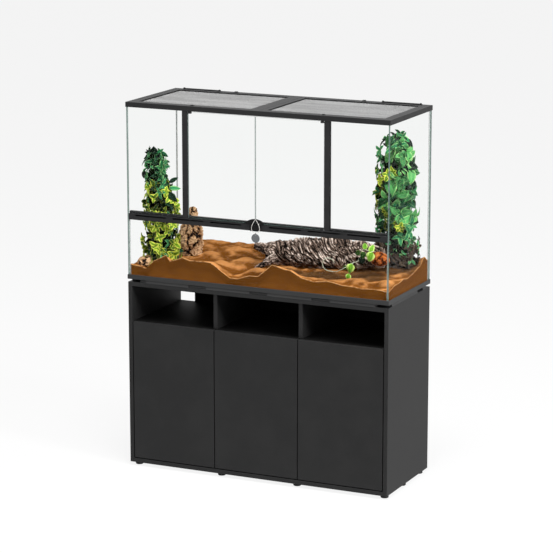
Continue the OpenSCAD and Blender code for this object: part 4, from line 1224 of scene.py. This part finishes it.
@dataclass
class WoodPiece:
    """A rough solid of revolution along a line, with ridges, clefts and knots.

    Places and radii are in millimetres; sizes holds radii by share of the length.
    A row of hollow is a ring's share of the end's radius, its depth in metres and
    its relief; the inner rows' low relief gives painted shade inside the hollow.
    """

    name: str
    finish: Finish
    replaces: tuple[str, ...]
    slot: str
    start: Point
    end: Point
    sizes: tuple[tuple[float, float], ...]
    skin: Skin
    flat: float = 1.0
    bend: float = 0.0
    cell: float = 42.0
    twist: float = 0.0
    cleft: float = 0.12
    lumps: float = 0.16
    rings: int = 190
    sides: int = 170
    seed: int = 1
    hollow_end: bool = False
    # The inner rows' low relief paints shade inside the hollow.
    hollow: ClassVar[tuple[Point, ...]] = ((0.80, 0.0, 0.95), (0.66, 0.014, 0.1), (0.42, 0.052, 0.0))

    def radius(self, share: float) -> float:
        """Returns the mean radius at a share of the length, in metres."""
        places, radii = zip(*self.sizes)
        return float(np.interp(share, places, radii)) * MM

    def build(self) -> None:
        """Builds the skin ring by ring, with its relief kept for the finish."""
        noise.seed_set(self.seed)
        start, end = np.array(self.start) * MM, np.array(self.end) * MM
        along = (end - start) / np.linalg.norm(end - start)
        across = np.cross(along, (0.0, 1.0, 0.0))
        across /= np.linalg.norm(across)
        other = np.cross(along, across)
        points, relief = [], []
        for i in range(self.rings):
            share = i / (self.rings - 1)
            centre = start + share * (end - start)
            centre[2] += self.bend * math.sin(math.pi * share) * MM
            for j in range(self.sides):
                turn = 2.0 * math.pi * j / self.sides
                way = math.cos(turn) * across + self.flat * math.sin(turn) * other
                skin = centre + self.radius(share) * way
                height = self.relief(skin, turn, share)
                swell = 1.0 + self.lumps * cloud(skin, 0.09, 2, self.seed)
                size = self.radius(share) * (swell + self.cleft * (height - 0.7))
                points.append(centre + size * way)
                relief.append(height)
        faces = [face[::-1] for face in grid_faces(self.rings, self.sides, wrap=True)]
        self._close_end(points, relief, faces, 0, start, along if self.hollow_end else None)
        self._close_end(points, relief, faces, (self.rings - 1) * self.sides, end, None)
        Piece(self.name, self.finish, replaces=self.replaces, slot=self.slot).make(
            np.array(points), faces, {"ridge": np.array(relief)}
        )

    def _close_end(
        self,
        points: list[np.ndarray],
        relief: list[float],
        faces: list[tuple[int, ...]],
        first: int,
        centre: np.ndarray,
        inward: Optional[np.ndarray],
    ) -> None:
        """Closes one end with a fan, or with a hollow that goes inwards.

        Args:
            points: The skin's points, which grow.
            relief: Their heights, which grow too.
            faces: The faces, which grow too.
            first: Number of the end ring's first point.
            centre: Centre of the end.
            inward: Direction of the hollow, or none for a plain end.
        """
        flip = first > 0
        if inward is not None:
            for share, depth, height in self.hollow:
                deeper = depth * inward
                ring = [centre + share * (points[first + j] - centre) + deeper for j in range(self.sides)]
                start = len(points)
                points.extend(ring)
                relief.extend([height] * self.sides)
                for j in range(self.sides):
                    k = (j + 1) % self.sides
                    faces.append((first + j, first + k, start + k, start + j))
                first, centre = start, centre + deeper
        points.append(centre)
        # Relief 0 at the hollow's bottom gives it the cleft colour: painted shade.
        relief.append(0.0 if inward is not None else 0.4)
        hub = len(points) - 1
        for j in range(self.sides):
            fan = (hub, first + (j + 1) % self.sides, first + j)
            faces.append(fan[::-1] if flip else fan)

    def relief(self, place: np.ndarray, turn: float, share: float) -> float:
        """Returns the skin's height from 0 in a cleft to 1 on a ridge.

        Args:
            place: Point of the plain skin.
            turn: Direction round the piece.
            share: Share of the length.

        Returns:
            The height.
        """
        if self.skin is Skin.CORK_LOBES:
            return self._lobes(place)
        return self._strands(place, turn, share)

    def _lobes(self, place: np.ndarray) -> float:
        """Shapes knobbly lobes that cracks part from one another.

        Args:
            place: Point of the plain skin.

        Returns:
            The height.
        """
        size = self.cell * MM
        spot = Vector(place) + Vector((self.seed, 0.0, 0.0))
        spot += 0.30 * size * noise.noise_vector(spot / (0.9 * size))
        spot += 0.12 * size * noise.noise_vector(spot / (0.25 * size))
        split = self._gap(Vector((spot.x, spot.y, 0.7 * spot.z)) / size)
        crack = min(1.0, max(0.0, (split + 0.10 * cloud(place, 0.3 * size, 2, self.seed)) / 0.26))
        small = min(1.0, self._gap(spot / (0.30 * size)) / 0.35)
        rough = 0.5 + 0.5 * cloud(place, 0.16 * size, 3, self.seed + 4.0)
        return max(0.0, min(1.0, crack * (0.46 + 0.26 * small + 0.38 * rough)))

    def _strands(self, place: np.ndarray, turn: float, share: float) -> float:
        """Shapes gnarled strands that wind round the piece.

        Args:
            place: Point of the plain skin.
            turn: Direction round the piece.
            share: Share of the length.

        Returns:
            The height.
        """
        size = self.cell * MM
        unwound = turn - 2.0 * math.pi * self.twist * share
        reach = self.radius(share)
        length = (Vector(self.end) - Vector(self.start)).length * MM
        bent = 2.6 * size * noise.noise_vector(Vector(place) / (5.2 * size))
        bent += 0.45 * size * noise.noise_vector(Vector(place) / (1.6 * size))
        spot = Vector((share * length, reach * math.cos(unwound), reach * math.sin(unwound))) + bent
        split = self._gap(Vector((0.15 * spot.x, spot.y, spot.z)) / size)
        strand = min(1.0, split / 0.42)
        fibre = min(1.0, self._gap(Vector((0.12 * spot.x, spot.y, spot.z)) / (0.42 * size)) / 0.5)
        rough = 0.5 + 0.5 * cloud(place, 0.9 * size, 3, self.seed + 2.0)
        patch = 0.86 + 0.42 * cloud(place, 0.055, 2, self.seed + 6.0)
        return max(0.0, min(1.0, patch * strand * (0.34 + 0.34 * fibre + 0.46 * rough)))

    @staticmethod
    def _gap(spot: Vector) -> float:
        """Returns how far a point is from the borders of the cells round it, in cells."""
        near, second = noise.voronoi(spot)[0][:2]
        return second - near


@dataclass(frozen=True)
class LeafShape:
    """Outline and curl of one kind of leaf, by shares of its length."""

    width: float
    fold: float = 0.35
    droop: float = 0.45
    widest: float = 0.4
    rows: int = 7
    columns: int = 5
    stalk: float = 0.02
    tip: float = 0.004
    flutter: float = 0.05
    foreshortening: float = 0.12

    def points(self, length: float, wave: float) -> tuple[np.ndarray, np.ndarray, np.ndarray]:
        """Returns a leaf that lies along x with its upper side towards z.

        Args:
            length: Length in metres.
            wave: Waviness of the margin from 0 to 1.

        Returns:
            Its points, and each point's across and along values.
        """
        share = np.linspace(0.0, 1.0, self.rows)
        power = math.log(0.5) / math.log(self.widest)
        half = 0.5 * self.width * np.sin(math.pi * share**power) ** 0.8
        half[0] = self.stalk
        half[-1] = self.tip
        across = np.linspace(-1.0, 1.0, self.columns)
        place, side = np.meshgrid(share, across, indexing="ij")
        y = half[:, None] * side
        lift = self.fold * np.abs(side) * half[:, None]
        flutter = self.flutter * wave * np.sin(9.0 * place + 2.0 * side) * np.abs(side)
        curl = -self.droop * place**2 + flutter
        x = place * (1.0 - self.foreshortening * place**2)
        rows = np.stack([x, y, lift + curl], axis=-1).reshape(-1, 3)
        return rows * length, side.reshape(-1), place.reshape(-1)


@dataclass
class LeafPile:
    """Leaves gathered into one mesh."""

    shape: LeafShape
    thickness: float = 0.5 * MM
    points: list[np.ndarray] = field(default_factory=list)
    faces: list[tuple[int, ...]] = field(default_factory=list)
    numbers: dict[str, list[np.ndarray]] = field(
        default_factory=lambda: {"across": [], "along": [], "tone": [], "sun": []}
    )
    total: int = 0

    def add(self, foot: Vector, along: Vector, upper: Vector, length: float, tone: float, sun: float) -> None:
        """Adds one leaf.

        Args:
            foot: Place of its stalk's end, in metres.
            along: Direction towards its tip.
            upper: Direction that its upper side looks in, roughly.
            length: Its length in metres.
            tone: Its own brightness from 0 to 1.
            sun: How open it is to the light, from 0 to 1.
        """
        rows, across, place = self.shape.points(length, tone)
        side = upper.cross(along).normalized()
        frame = np.array((along, side, along.cross(side)))
        self.points.append(rows @ frame + np.array(foot))
        self.faces.extend(grid_faces(self.shape.rows, self.shape.columns, self.total))
        self.total += len(rows)
        self.numbers["across"].append(across)
        self.numbers["along"].append(place)
        self.numbers["tone"].append(np.full(len(rows), tone))
        self.numbers["sun"].append(np.full(len(rows), sun))

    def make(self, piece: Piece) -> bpy.types.Object:
        """Builds the gathered leaves, with a thin second side.

        Args:
            piece: Name, finish and body of the piece.

        Returns:
            The new object.
        """
        numbers = {name: np.concatenate(parts) for name, parts in self.numbers.items()}
        made = piece.make(np.concatenate(self.points), self.faces, numbers)
        skin = made.modifiers.new("leaf_thickness", "SOLIDIFY")
        skin.thickness = self.thickness
        skin.offset = 0.0
        return made


@dataclass(frozen=True)
class SingleLeaf:
    """One listed leaf: root in millimetres, length, direction and tone."""

    root: Point
    length: float
    angle: float
    tone: float = 0.7
    # The sun value is the leaf's share of painted light.
    sun: float = 0.9
    upper: ClassVar[Point] = (0.12, -0.95, 0.25)

    def add_to(self, pile: LeafPile) -> None:
        """Adds the leaf, which stands nearly upright and faces the front.

        Args:
            pile: The pile that it goes into.
        """
        angle = math.radians(self.angle)
        along = Vector((math.cos(angle), 0.17 * math.sin(angle), 0.98 * math.sin(angle))).normalized()
        upper = Vector(self.upper).normalized()
        pile.add(Vector(self.root) * MM, along, upper, self.length * MM, self.tone, self.sun)


@dataclass(frozen=True)
class Canopy:
    """Rosettes of one kind of leaf on part of a climber."""

    name: str
    finish: Finish
    slot: str
    leaf: LeafShape
    lengths: tuple[float, float]
    rosettes: int
    each: int
    levels: tuple[float, float]
    turns: tuple[float, float] = (0.0, 360.0)
    layers: tuple[float, ...] = (0.50, 0.68, 0.84)
    open: float = 0.55
    extra: tuple[SingleLeaf, ...] = ()


# A station's level, the plant's centre there in x and y, and its half widths.
Station = tuple[float, float, float, float, float]


@dataclass
class Climber:
    """A climbing plant on a dark core, which stands for its stems and paints shade between the leaves; its
    lengths are in millimetres.
    """

    name: str
    stations: tuple[Station, ...]
    canopies: tuple[Canopy, ...]
    seed: int
    keep_in: tuple[Point, Point] = ((-590.0, -218.0, 850.0), (590.0, 218.0, 1560.0))
    shortest_leaf: float = 9.0
    sag: float = 0.22
    overhang: float = 16.0
    overhang_share: float = 1.15
    head_over: float = 8.0
    core_rings: int = 60
    core_sides: int = 26
    core_foot: float = 6.0
    core_head: float = 22.0
    core_share: float = 0.46

    def at(self, level: float, column: int) -> float:
        """Returns a station's value at a level, in millimetres."""
        levels = [row[0] for row in self.stations]
        return float(np.interp(level, levels, [row[column] for row in self.stations]))

    def spot(self, level: float, turn: float, share: float) -> Vector:
        """Finds a point at a share of the foliage's reach.

        Args:
            level: Level in millimetres.
            turn: Direction round the plant.
            share: 0 at the plant's centre, 1 at the foliage's outside.

        Returns:
            The point in millimetres.
        """
        return Vector((
            self.at(level, 1) + share * self.at(level, 3) * math.cos(turn),
            self.at(level, 2) + share * self.at(level, 4) * math.sin(turn),
            level,
        ))

    def build(self) -> None:
        """Builds the core and the canopies."""
        self.grow_core()
        chance = random.Random(self.seed)
        for canopy in self.canopies:
            pile = LeafPile(canopy.leaf)
            low, high = canopy.levels
            for i in range(canopy.rosettes):
                level = low + (high - low) * (i + chance.random()) / canopy.rosettes
                turn = math.radians(chance.uniform(*canopy.turns))
                self.add_rosette(pile, chance, canopy, level, turn)
            for leaf in canopy.extra:
                leaf.add_to(pile)
            pile.make(Piece(canopy.name, canopy.finish, replaces=(self.name,), slot=canopy.slot))

    def add_rosette(
        self, pile: LeafPile, chance: random.Random, canopy: Canopy, level: float, turn: float
    ) -> None:
        """Adds leaves that spread from one point of the plant.

        Args:
            pile: The pile that they go into.
            chance: The plant's own chance.
            canopy: The kind of leaf.
            level: Level of the point in millimetres.
            turn: Direction of the point round the plant.
        """
        layer = chance.choice(canopy.layers)
        foot = self.spot(level, turn, layer)
        aside = turn + chance.uniform(-0.7, 0.7)
        outward = Vector((math.cos(aside), math.sin(aside), chance.uniform(-0.35, 0.75))).normalized()
        beside = outward.cross(Vector((0.0, 0.0, 1.0))).normalized()
        above = beside.cross(outward)
        first = chance.uniform(0.0, 2.0 * math.pi)
        tone = chance.random()
        front = 0.5 - 0.5 * math.sin(turn)
        depth = (layer - min(canopy.layers)) / (max(canopy.layers) - min(canopy.layers) + 0.01)
        for k in range(canopy.each):
            angle = first + 2.0 * math.pi * (k + chance.uniform(-0.22, 0.22)) / canopy.each
            spread = math.cos(angle) * beside + math.sin(angle) * above
            along = (spread + canopy.open * outward - Vector((0.0, 0.0, self.sag))).normalized()
            length = chance.uniform(*canopy.lengths)
            while length > self.shortest_leaf and not self.holds(foot + length * along):
                length *= 0.8
            # Painted light: outer layers and rosettes towards the front get more.
            sun = 0.05 + 0.55 * depth + 0.25 * front + chance.uniform(-0.20, 0.25)
            shade = min(1.0, max(0.0, 0.45 * tone + 0.55 * chance.random()))
            pile.add(foot * MM, along, outward, length * MM, shade, min(1.0, max(0.0, sun)))

    def holds(self, tip: Vector) -> bool:
        """Tests whether a leaf may reach so far.

        Args:
            tip: The leaf's tip in millimetres.

        Returns:
            Whether the tip stays in the plant's reach and in the tank.
        """
        foot, head = self.stations[0][0], self.stations[-1][0]
        level = min(max(tip.z, foot), head)
        across = (tip.x - self.at(level, 1)) / (self.at(level, 3) + self.overhang)
        deep = (tip.y - self.at(level, 2)) / (self.at(level, 4) + self.overhang)
        low, high = self.keep_in
        inside = all(low[k] < tip[k] < high[k] for k in range(3))
        near = across**2 + deep**2 < self.overhang_share
        return inside and near and tip.z < head + self.head_over

    def grow_core(self) -> None:
        """Builds the dark core that carries the leaves: the stems, and painted shade in the gaps among the
        leaves.
        """
        rings, sides = self.core_rings, self.core_sides
        low, high = self.stations[0][0] - self.core_foot, self.stations[-1][0] - self.core_head
        points, relief = [], []
        for i in range(rings):
            level = low + (high - low) * i / (rings - 1)
            for j in range(sides):
                turn = 2.0 * math.pi * j / sides
                rough = cloud((math.cos(turn), math.sin(turn), level * 0.012), 0.5, 3, self.seed)
                share = self.core_share + 0.12 * rough
                points.append(tuple(self.spot(level, turn, share) * MM))
                relief.append(0.5 + 0.4 * rough)
        faces = grid_faces(rings, sides, wrap=True)
        faces.append(tuple(range(sides)))
        faces.append(tuple(range(len(points) - sides, len(points)))[::-1])
        Piece(self.name + "_core", PLANT_SHADE_CORE).make(np.array(points), faces, {"ridge": np.array(relief)})


@dataclass
class Sprig:
    """A trailing vine by the log: curled tendril, stem, shoot and a few leaves."""

    curl: Point = (278.0, -104.0, 945.0)
    curl_r: float = 27.0
    curl_turns: tuple[float, float] = (20.0, 270.0)
    curl_points: int = 40
    thick: float = 1.6
    leaf: LeafShape = LeafShape(width=0.72, fold=0.22, droop=0.25, widest=0.34)
    run: tuple[Point, ...] = (
        (300.0, -105.0, 916.0), (318.0, -107.0, 918.0), (340.0, -111.0, 930.0), (356.0, -112.0, 940.0),
        (378.0, -90.0, 955.0), (396.0, -55.0, 962.0), (406.0, -26.0, 964.0),
    )
    shoot: tuple[Point, ...] = (
        (392.0, -63.0, 960.0), (402.0, -62.0, 980.0), (410.0, -70.0, 1000.0), (420.0, -86.0, 1016.0),
        (442.0, -94.0, 1020.0), (464.0, -97.0, 1012.0), (476.0, -98.0, 1016.0),
    )
    leaves: tuple[SingleLeaf, ...] = (
        SingleLeaf((384.0, -104.0, 958.0), 50, 255, 1.0, 0.95),
        SingleLeaf((373.0, -112.0, 916.0), 34, 267, 0.8, 0.9),
        SingleLeaf((363.0, -107.0, 944.0), 26, 212, 0.3, 0.5),
        SingleLeaf((443.0, -96.0, 1022.0), 32, 117, 0.6, 0.9),
        SingleLeaf((463.0, -98.0, 1011.0), 38, 74, 1.0, 1.0),
        SingleLeaf((474.0, -100.0, 1014.0), 52, 248, 0.9, 0.9),
        SingleLeaf((440.0, -98.0, 1010.0), 38, 236, 0.2, 0.6),
        SingleLeaf((430.0, -94.0, 990.0), 42, 254, 0.1, 0.4),
        SingleLeaf((412.0, -80.0, 1003.0), 32, 196, 0.3, 0.5),
    )

    def build(self) -> None:
        """Builds the stems and the leaves."""
        first, last = self.curl_turns
        turns = np.linspace(math.radians(first), math.radians(last), self.curl_points)
        x, y, z = self.curl
        curl = [(x + self.curl_r * math.cos(a), y, z + self.curl_r * math.sin(a)) for a in turns]
        for name, path in (("vine_tendril", curl + list(self.run)), ("vine_shoot", list(self.shoot))):
            line = np.array(path) * MM
            Piece(name, VineStem(), replaces=("vine_sprig",), slot="leaves_lime").make(
                *tube(line, np.full(len(line), self.thick * MM))
            )
        pile = LeafPile(self.leaf)
        for leaf in self.leaves:
            leaf.add_to(pile)
        pile.make(Piece("vine_leaves", SPRIG_LEAVES, replaces=("vine_sprig",), slot="leaves_lime"))


@dataclass
class Landscape:
    """Everything that lies or grows in the tank."""

    small_leaf: LeafShape = LeafShape(width=0.60, fold=0.35, droop=0.30, widest=0.40, rows=6)
    long_leaf: LeafShape = LeafShape(width=0.42, fold=0.40, droop=0.35, widest=0.42, rows=7)
    broad_leaf: LeafShape = LeafShape(width=0.62, fold=0.30, droop=0.35, widest=0.38, rows=8)

    def build(self) -> None:
        """Builds the sand, the wood and the plants."""
        SandBed().build()
        for wood in self.woods():
            wood.build()
        for climber in (self.left_plant(), self.right_plant()):
            climber.build()
        Sprig().build()

    def woods(self) -> tuple[WoodPiece, ...]:
        """Describes the wood in the tank.

        Returns:
            The cork bark, the log with its roots and stub, and the bark at the left plant's foot.
        """
        return (
            WoodPiece(
                "cork_slab", CORK, ("cork_bark",), "bark", (-428.0, 12.0, 896.0), (-410.0, 22.0, 1111.0),
                ((0.0, 58.0), (0.25, 64.0), (0.55, 56.0), (0.72, 43.0), (0.83, 26.0), (0.93, 25.0),
                 (0.98, 16.0), (1.0, 4.0)),
                Skin.CORK_LOBES, flat=0.62, cell=44.0, cleft=0.30, lumps=0.20, rings=220, sides=200, seed=3,
            ),
            WoodPiece(
                "root_log", DRIFTWOOD, ("driftwood_log",), "driftwood", (-46.0, -2.0, 946.0),
                (474.0, 22.0, 968.0),
                ((0.0, 46.0), (0.1, 56.0), (0.3, 59.0), (0.5, 68.0), (0.7, 62.0), (0.9, 51.0), (1.0, 42.0)),
                Skin.TWISTED_STRANDS, flat=0.94, bend=8.0, cell=15.0, twist=1.9, cleft=0.20, lumps=0.14,
                rings=360, sides=250, seed=7, hollow_end=True,
            ),
            WoodPiece(
                "root_stub", DRIFTWOOD, (), "driftwood", (-8.0, -16.0, 958.0), (-92.0, -44.0, 980.0),
                ((0.0, 30.0), (0.4, 24.0), (0.9, 17.0), (1.0, 13.0)),
                Skin.TWISTED_STRANDS, cell=9.0, twist=0.3, cleft=0.26, lumps=0.2, rings=70, sides=80,
                seed=17,
            ),
            WoodPiece(
                "root_foot", DRIFTWOOD, (), "driftwood", (20.0, -50.0, 940.0), (-74.0, -104.0, 876.0),
                ((0.0, 24.0), (0.4, 17.0), (0.9, 12.0), (1.0, 8.0)),
                Skin.TWISTED_STRANDS, bend=9.0, cell=8.0, twist=0.3, cleft=0.26, lumps=0.2, rings=90,
                sides=70, seed=19,
            ),
            WoodPiece(
                "plant_foot_bark", CORK, (), "bark", (-580.0, -174.0, 896.0), (-500.0, -180.0, 900.0),
                ((0.0, 8.0), (0.15, 27.0), (0.5, 35.0), (0.85, 28.0), (1.0, 8.0)),
                Skin.CORK_LOBES, cell=34.0, cleft=0.24, lumps=0.28, rings=70, sides=80, seed=11,
            ),
            WoodPiece(
                "rust_stub", RUST_BARK, (), "bark", (440.0, -6.0, 975.0), (512.0, -12.0, 958.0),
                ((0.0, 20.0), (0.2, 26.0), (0.6, 25.0), (0.9, 16.0), (1.0, 4.0)),
                Skin.CORK_LOBES, cell=24.0, cleft=0.15, lumps=0.3, rings=50, sides=50, seed=13,
            ),
        )

    def left_plant(self) -> Climber:
        """Describes the slim climber.

        Returns:
            The plant, lime below, blue-green and longer-leaved at its head.
        """
        return Climber(
            "plant_left",
            (
                (892, -474, -150, 92, 55), (960, -474, -148, 104, 62), (1060, -482, -145, 80, 58),
                (1160, -480, -142, 78, 55), (1245, -500, -140, 46, 42), (1325, -512, -138, 64, 50),
                (1386, -512, -138, 30, 28),
            ),
            (
                Canopy(
                    "plant_left_lime", LIME_LEAVES, "leaves_lime", self.small_leaf, (26.0, 38.0),
                    rosettes=150, each=4, levels=(900.0, 1236.0),
                ),
                Canopy(
                    "plant_left_dark", TEAL_LEAVES, "leaves_deep", self.long_leaf, (26.0, 40.0),
                    rosettes=60, each=4, levels=(905.0, 1250.0), layers=(0.5, 0.7),
                    extra=(
                        SingleLeaf((-432.0, -160.0, 1243.0), 46, 38, 0.2, 0.45),
                        SingleLeaf((-430.0, -166.0, 1222.0), 52, 2, 0.9, 0.8),
                        SingleLeaf((-432.0, -164.0, 1206.0), 60, -50, 0.2, 0.45),
                        SingleLeaf((-548.0, -160.0, 1290.0), 44, 255, 0.1, 0.3),
                    ),
                ),
                Canopy(
                    "plant_left_head", TEAL_LEAVES, "leaves_deep", self.long_leaf, (34.0, 50.0),
                    rosettes=34, each=5, levels=(1225.0, 1372.0), layers=(0.4, 0.6, 0.75), open=0.8,
                ),
            ),
            seed=21,
        )

    def right_plant(self) -> Climber:
        """Describes the broad climber.

        Returns:
            The plant, with large leaves, lime ones at its left and litter at its foot.
        """
        return Climber(
            "plant_right",
            (
                (905, 490, 138, 88, 66), (1040, 488, 136, 98, 72), (1180, 482, 134, 96, 70),
                (1300, 480, 134, 92, 66), (1400, 478, 132, 84, 62), (1480, 470, 130, 40, 36),
            ),
            (
                Canopy(
                    "plant_right_deep", TEAL_LEAVES, "leaves_deep", self.long_leaf, (34.0, 52.0),
                    rosettes=110, each=4, levels=(935.0, 1470.0), layers=(0.5, 0.66, 0.84),
                ),
                Canopy(
                    "plant_right_broad", BROAD_LEAVES, "leaves_deep", self.broad_leaf, (50.0, 74.0),
                    rosettes=40, each=3, levels=(1110.0, 1450.0), turns=(250.0, 380.0),
                    layers=(0.6, 0.80), open=0.45,
                ),
                Canopy(
                    "plant_right_lime", LIME_LEAVES, "leaves_lime", self.small_leaf, (26.0, 38.0),
                    rosettes=30, each=5, levels=(1070.0, 1330.0), turns=(150.0, 300.0), layers=(0.66, 0.84),
                ),
                Canopy(
                    "plant_right_litter", LITTER, "bark", self.long_leaf, (26.0, 44.0),
                    rosettes=64, each=4, levels=(908.0, 1010.0), turns=(180.0, 400.0), layers=(0.6, 0.9),
                ),
            ),
            seed=34,
        )


# ------------------------------------------------------------------ studio


@dataclass
class Softbox:
    """A square area lamp that looks at a point."""

    name: str
    place: Point
    target: Point
    size: float
    power: float

    def build(self) -> None:
        """Adds the lamp."""
        lamp = bpy.data.lights.new(self.name, "AREA")
        lamp.size = self.size
        lamp.energy = self.power
        made = bpy.data.objects.new(self.name, lamp)
        made.location = self.place
        aim = Vector(self.target) - Vector(self.place)
        made.rotation_euler = aim.to_track_quat("-Z", "Y").to_euler()
        bpy.context.scene.collection.objects.link(made)


@dataclass
class Studio:
    """Pale room, lamps and the camera at the photograph's viewing angle."""

    eye: Point = (4.26875, -9.17203, 3.0891)
    yaw: float = 25.0
    pitch: float = -12.5
    lens: float = 159.1
    sensor: float = 36.0
    far: float = 100.0
    room_light: float = 0.18
    floor_reach: float = 40.0
    lamps: tuple[Softbox, ...] = (
        Softbox("softbox_right", (6.8, -2.2, 4.2), (0.0, 0.0, 0.8), 1.6, 480.0),
        Softbox("softbox_top", (0.8, -1.6, 6.5), (0.0, 0.0, 0.8), 1.6, 360.0),
        Softbox("softbox_left", (-5.5, -6.0, 3.5), (0.0, 0.0, 0.8), 3.0, 70.0),
    )

    def build(self) -> None:
        """Builds the room, the lamps and the camera."""
        bpy.context.scene.view_settings.view_transform = "Standard"
        self.paint_world()
        self.lay_floor()
        for lamp in self.lamps:
            lamp.build()
        self.set_camera()

    def paint_world(self) -> None:
        """Makes the room white to the eye, and softer as a light."""
        tree = Tree("pale_room", room=True)
        light = tree.node("ShaderNodeBackground", inputs={"Color": WHITE, "Strength": self.room_light})
        white = tree.node("ShaderNodeBackground", inputs={"Color": WHITE})
        bpy.context.scene.world = tree.close(tree.mixed(tree.seen(), light, white))

    def lay_floor(self) -> None:
        """Lays the pale floor under the feet."""
        reach = self.floor_reach
        mesh = bpy.data.meshes.new("studio_floor")
        mesh.from_pydata(
            [(-reach, -reach, 0.0), (reach, -reach, 0.0), (reach, reach, 0.0), (-reach, reach, 0.0)],
            [], [(0, 1, 2, 3)],
        )
        mesh.materials.append(StudioFloor().material())
        floor = bpy.data.objects.new("studio_floor", mesh)
        bpy.context.scene.collection.objects.link(floor)

    def set_camera(self) -> None:
        """Places the camera where the photograph was taken from."""
        data = bpy.data.cameras.new("photo_camera")
        data.sensor_width = self.sensor
        data.lens = self.lens
        data.clip_end = self.far
        camera = bpy.data.objects.new("photo_camera", data)
        camera.location = self.eye
        camera.rotation_euler = (math.radians(90.0 + self.pitch), 0.0, math.radians(self.yaw))
        bpy.context.scene.collection.objects.link(camera)
        bpy.context.scene.camera = camera


def corners(box: tuple[Vector, Vector]) -> list[list[float]]:
    """Returns a box as plain lists of numbers."""
    return [[float(x) for x in corner] for corner in box]


def main() -> None:
    """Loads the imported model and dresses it."""
    logging.basicConfig(level=logging.INFO, format="%(name)s: %(message)s")
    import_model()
    makers: tuple[tuple[str, Callable[[], None]], ...] = (
        ("studio", Studio().build),
        ("stand", Stand().build),
        ("tank", Tank().build),
        ("left lid", Lid("left").build),
        ("right lid", Lid("right").build),
        ("glass doors", GlassDoors().build),
        ("landscape", Landscape().build),
    )
    for name, build in makers:
        LOG.info("building %s", name)
        build()


if __name__ == "__main__":
    main()
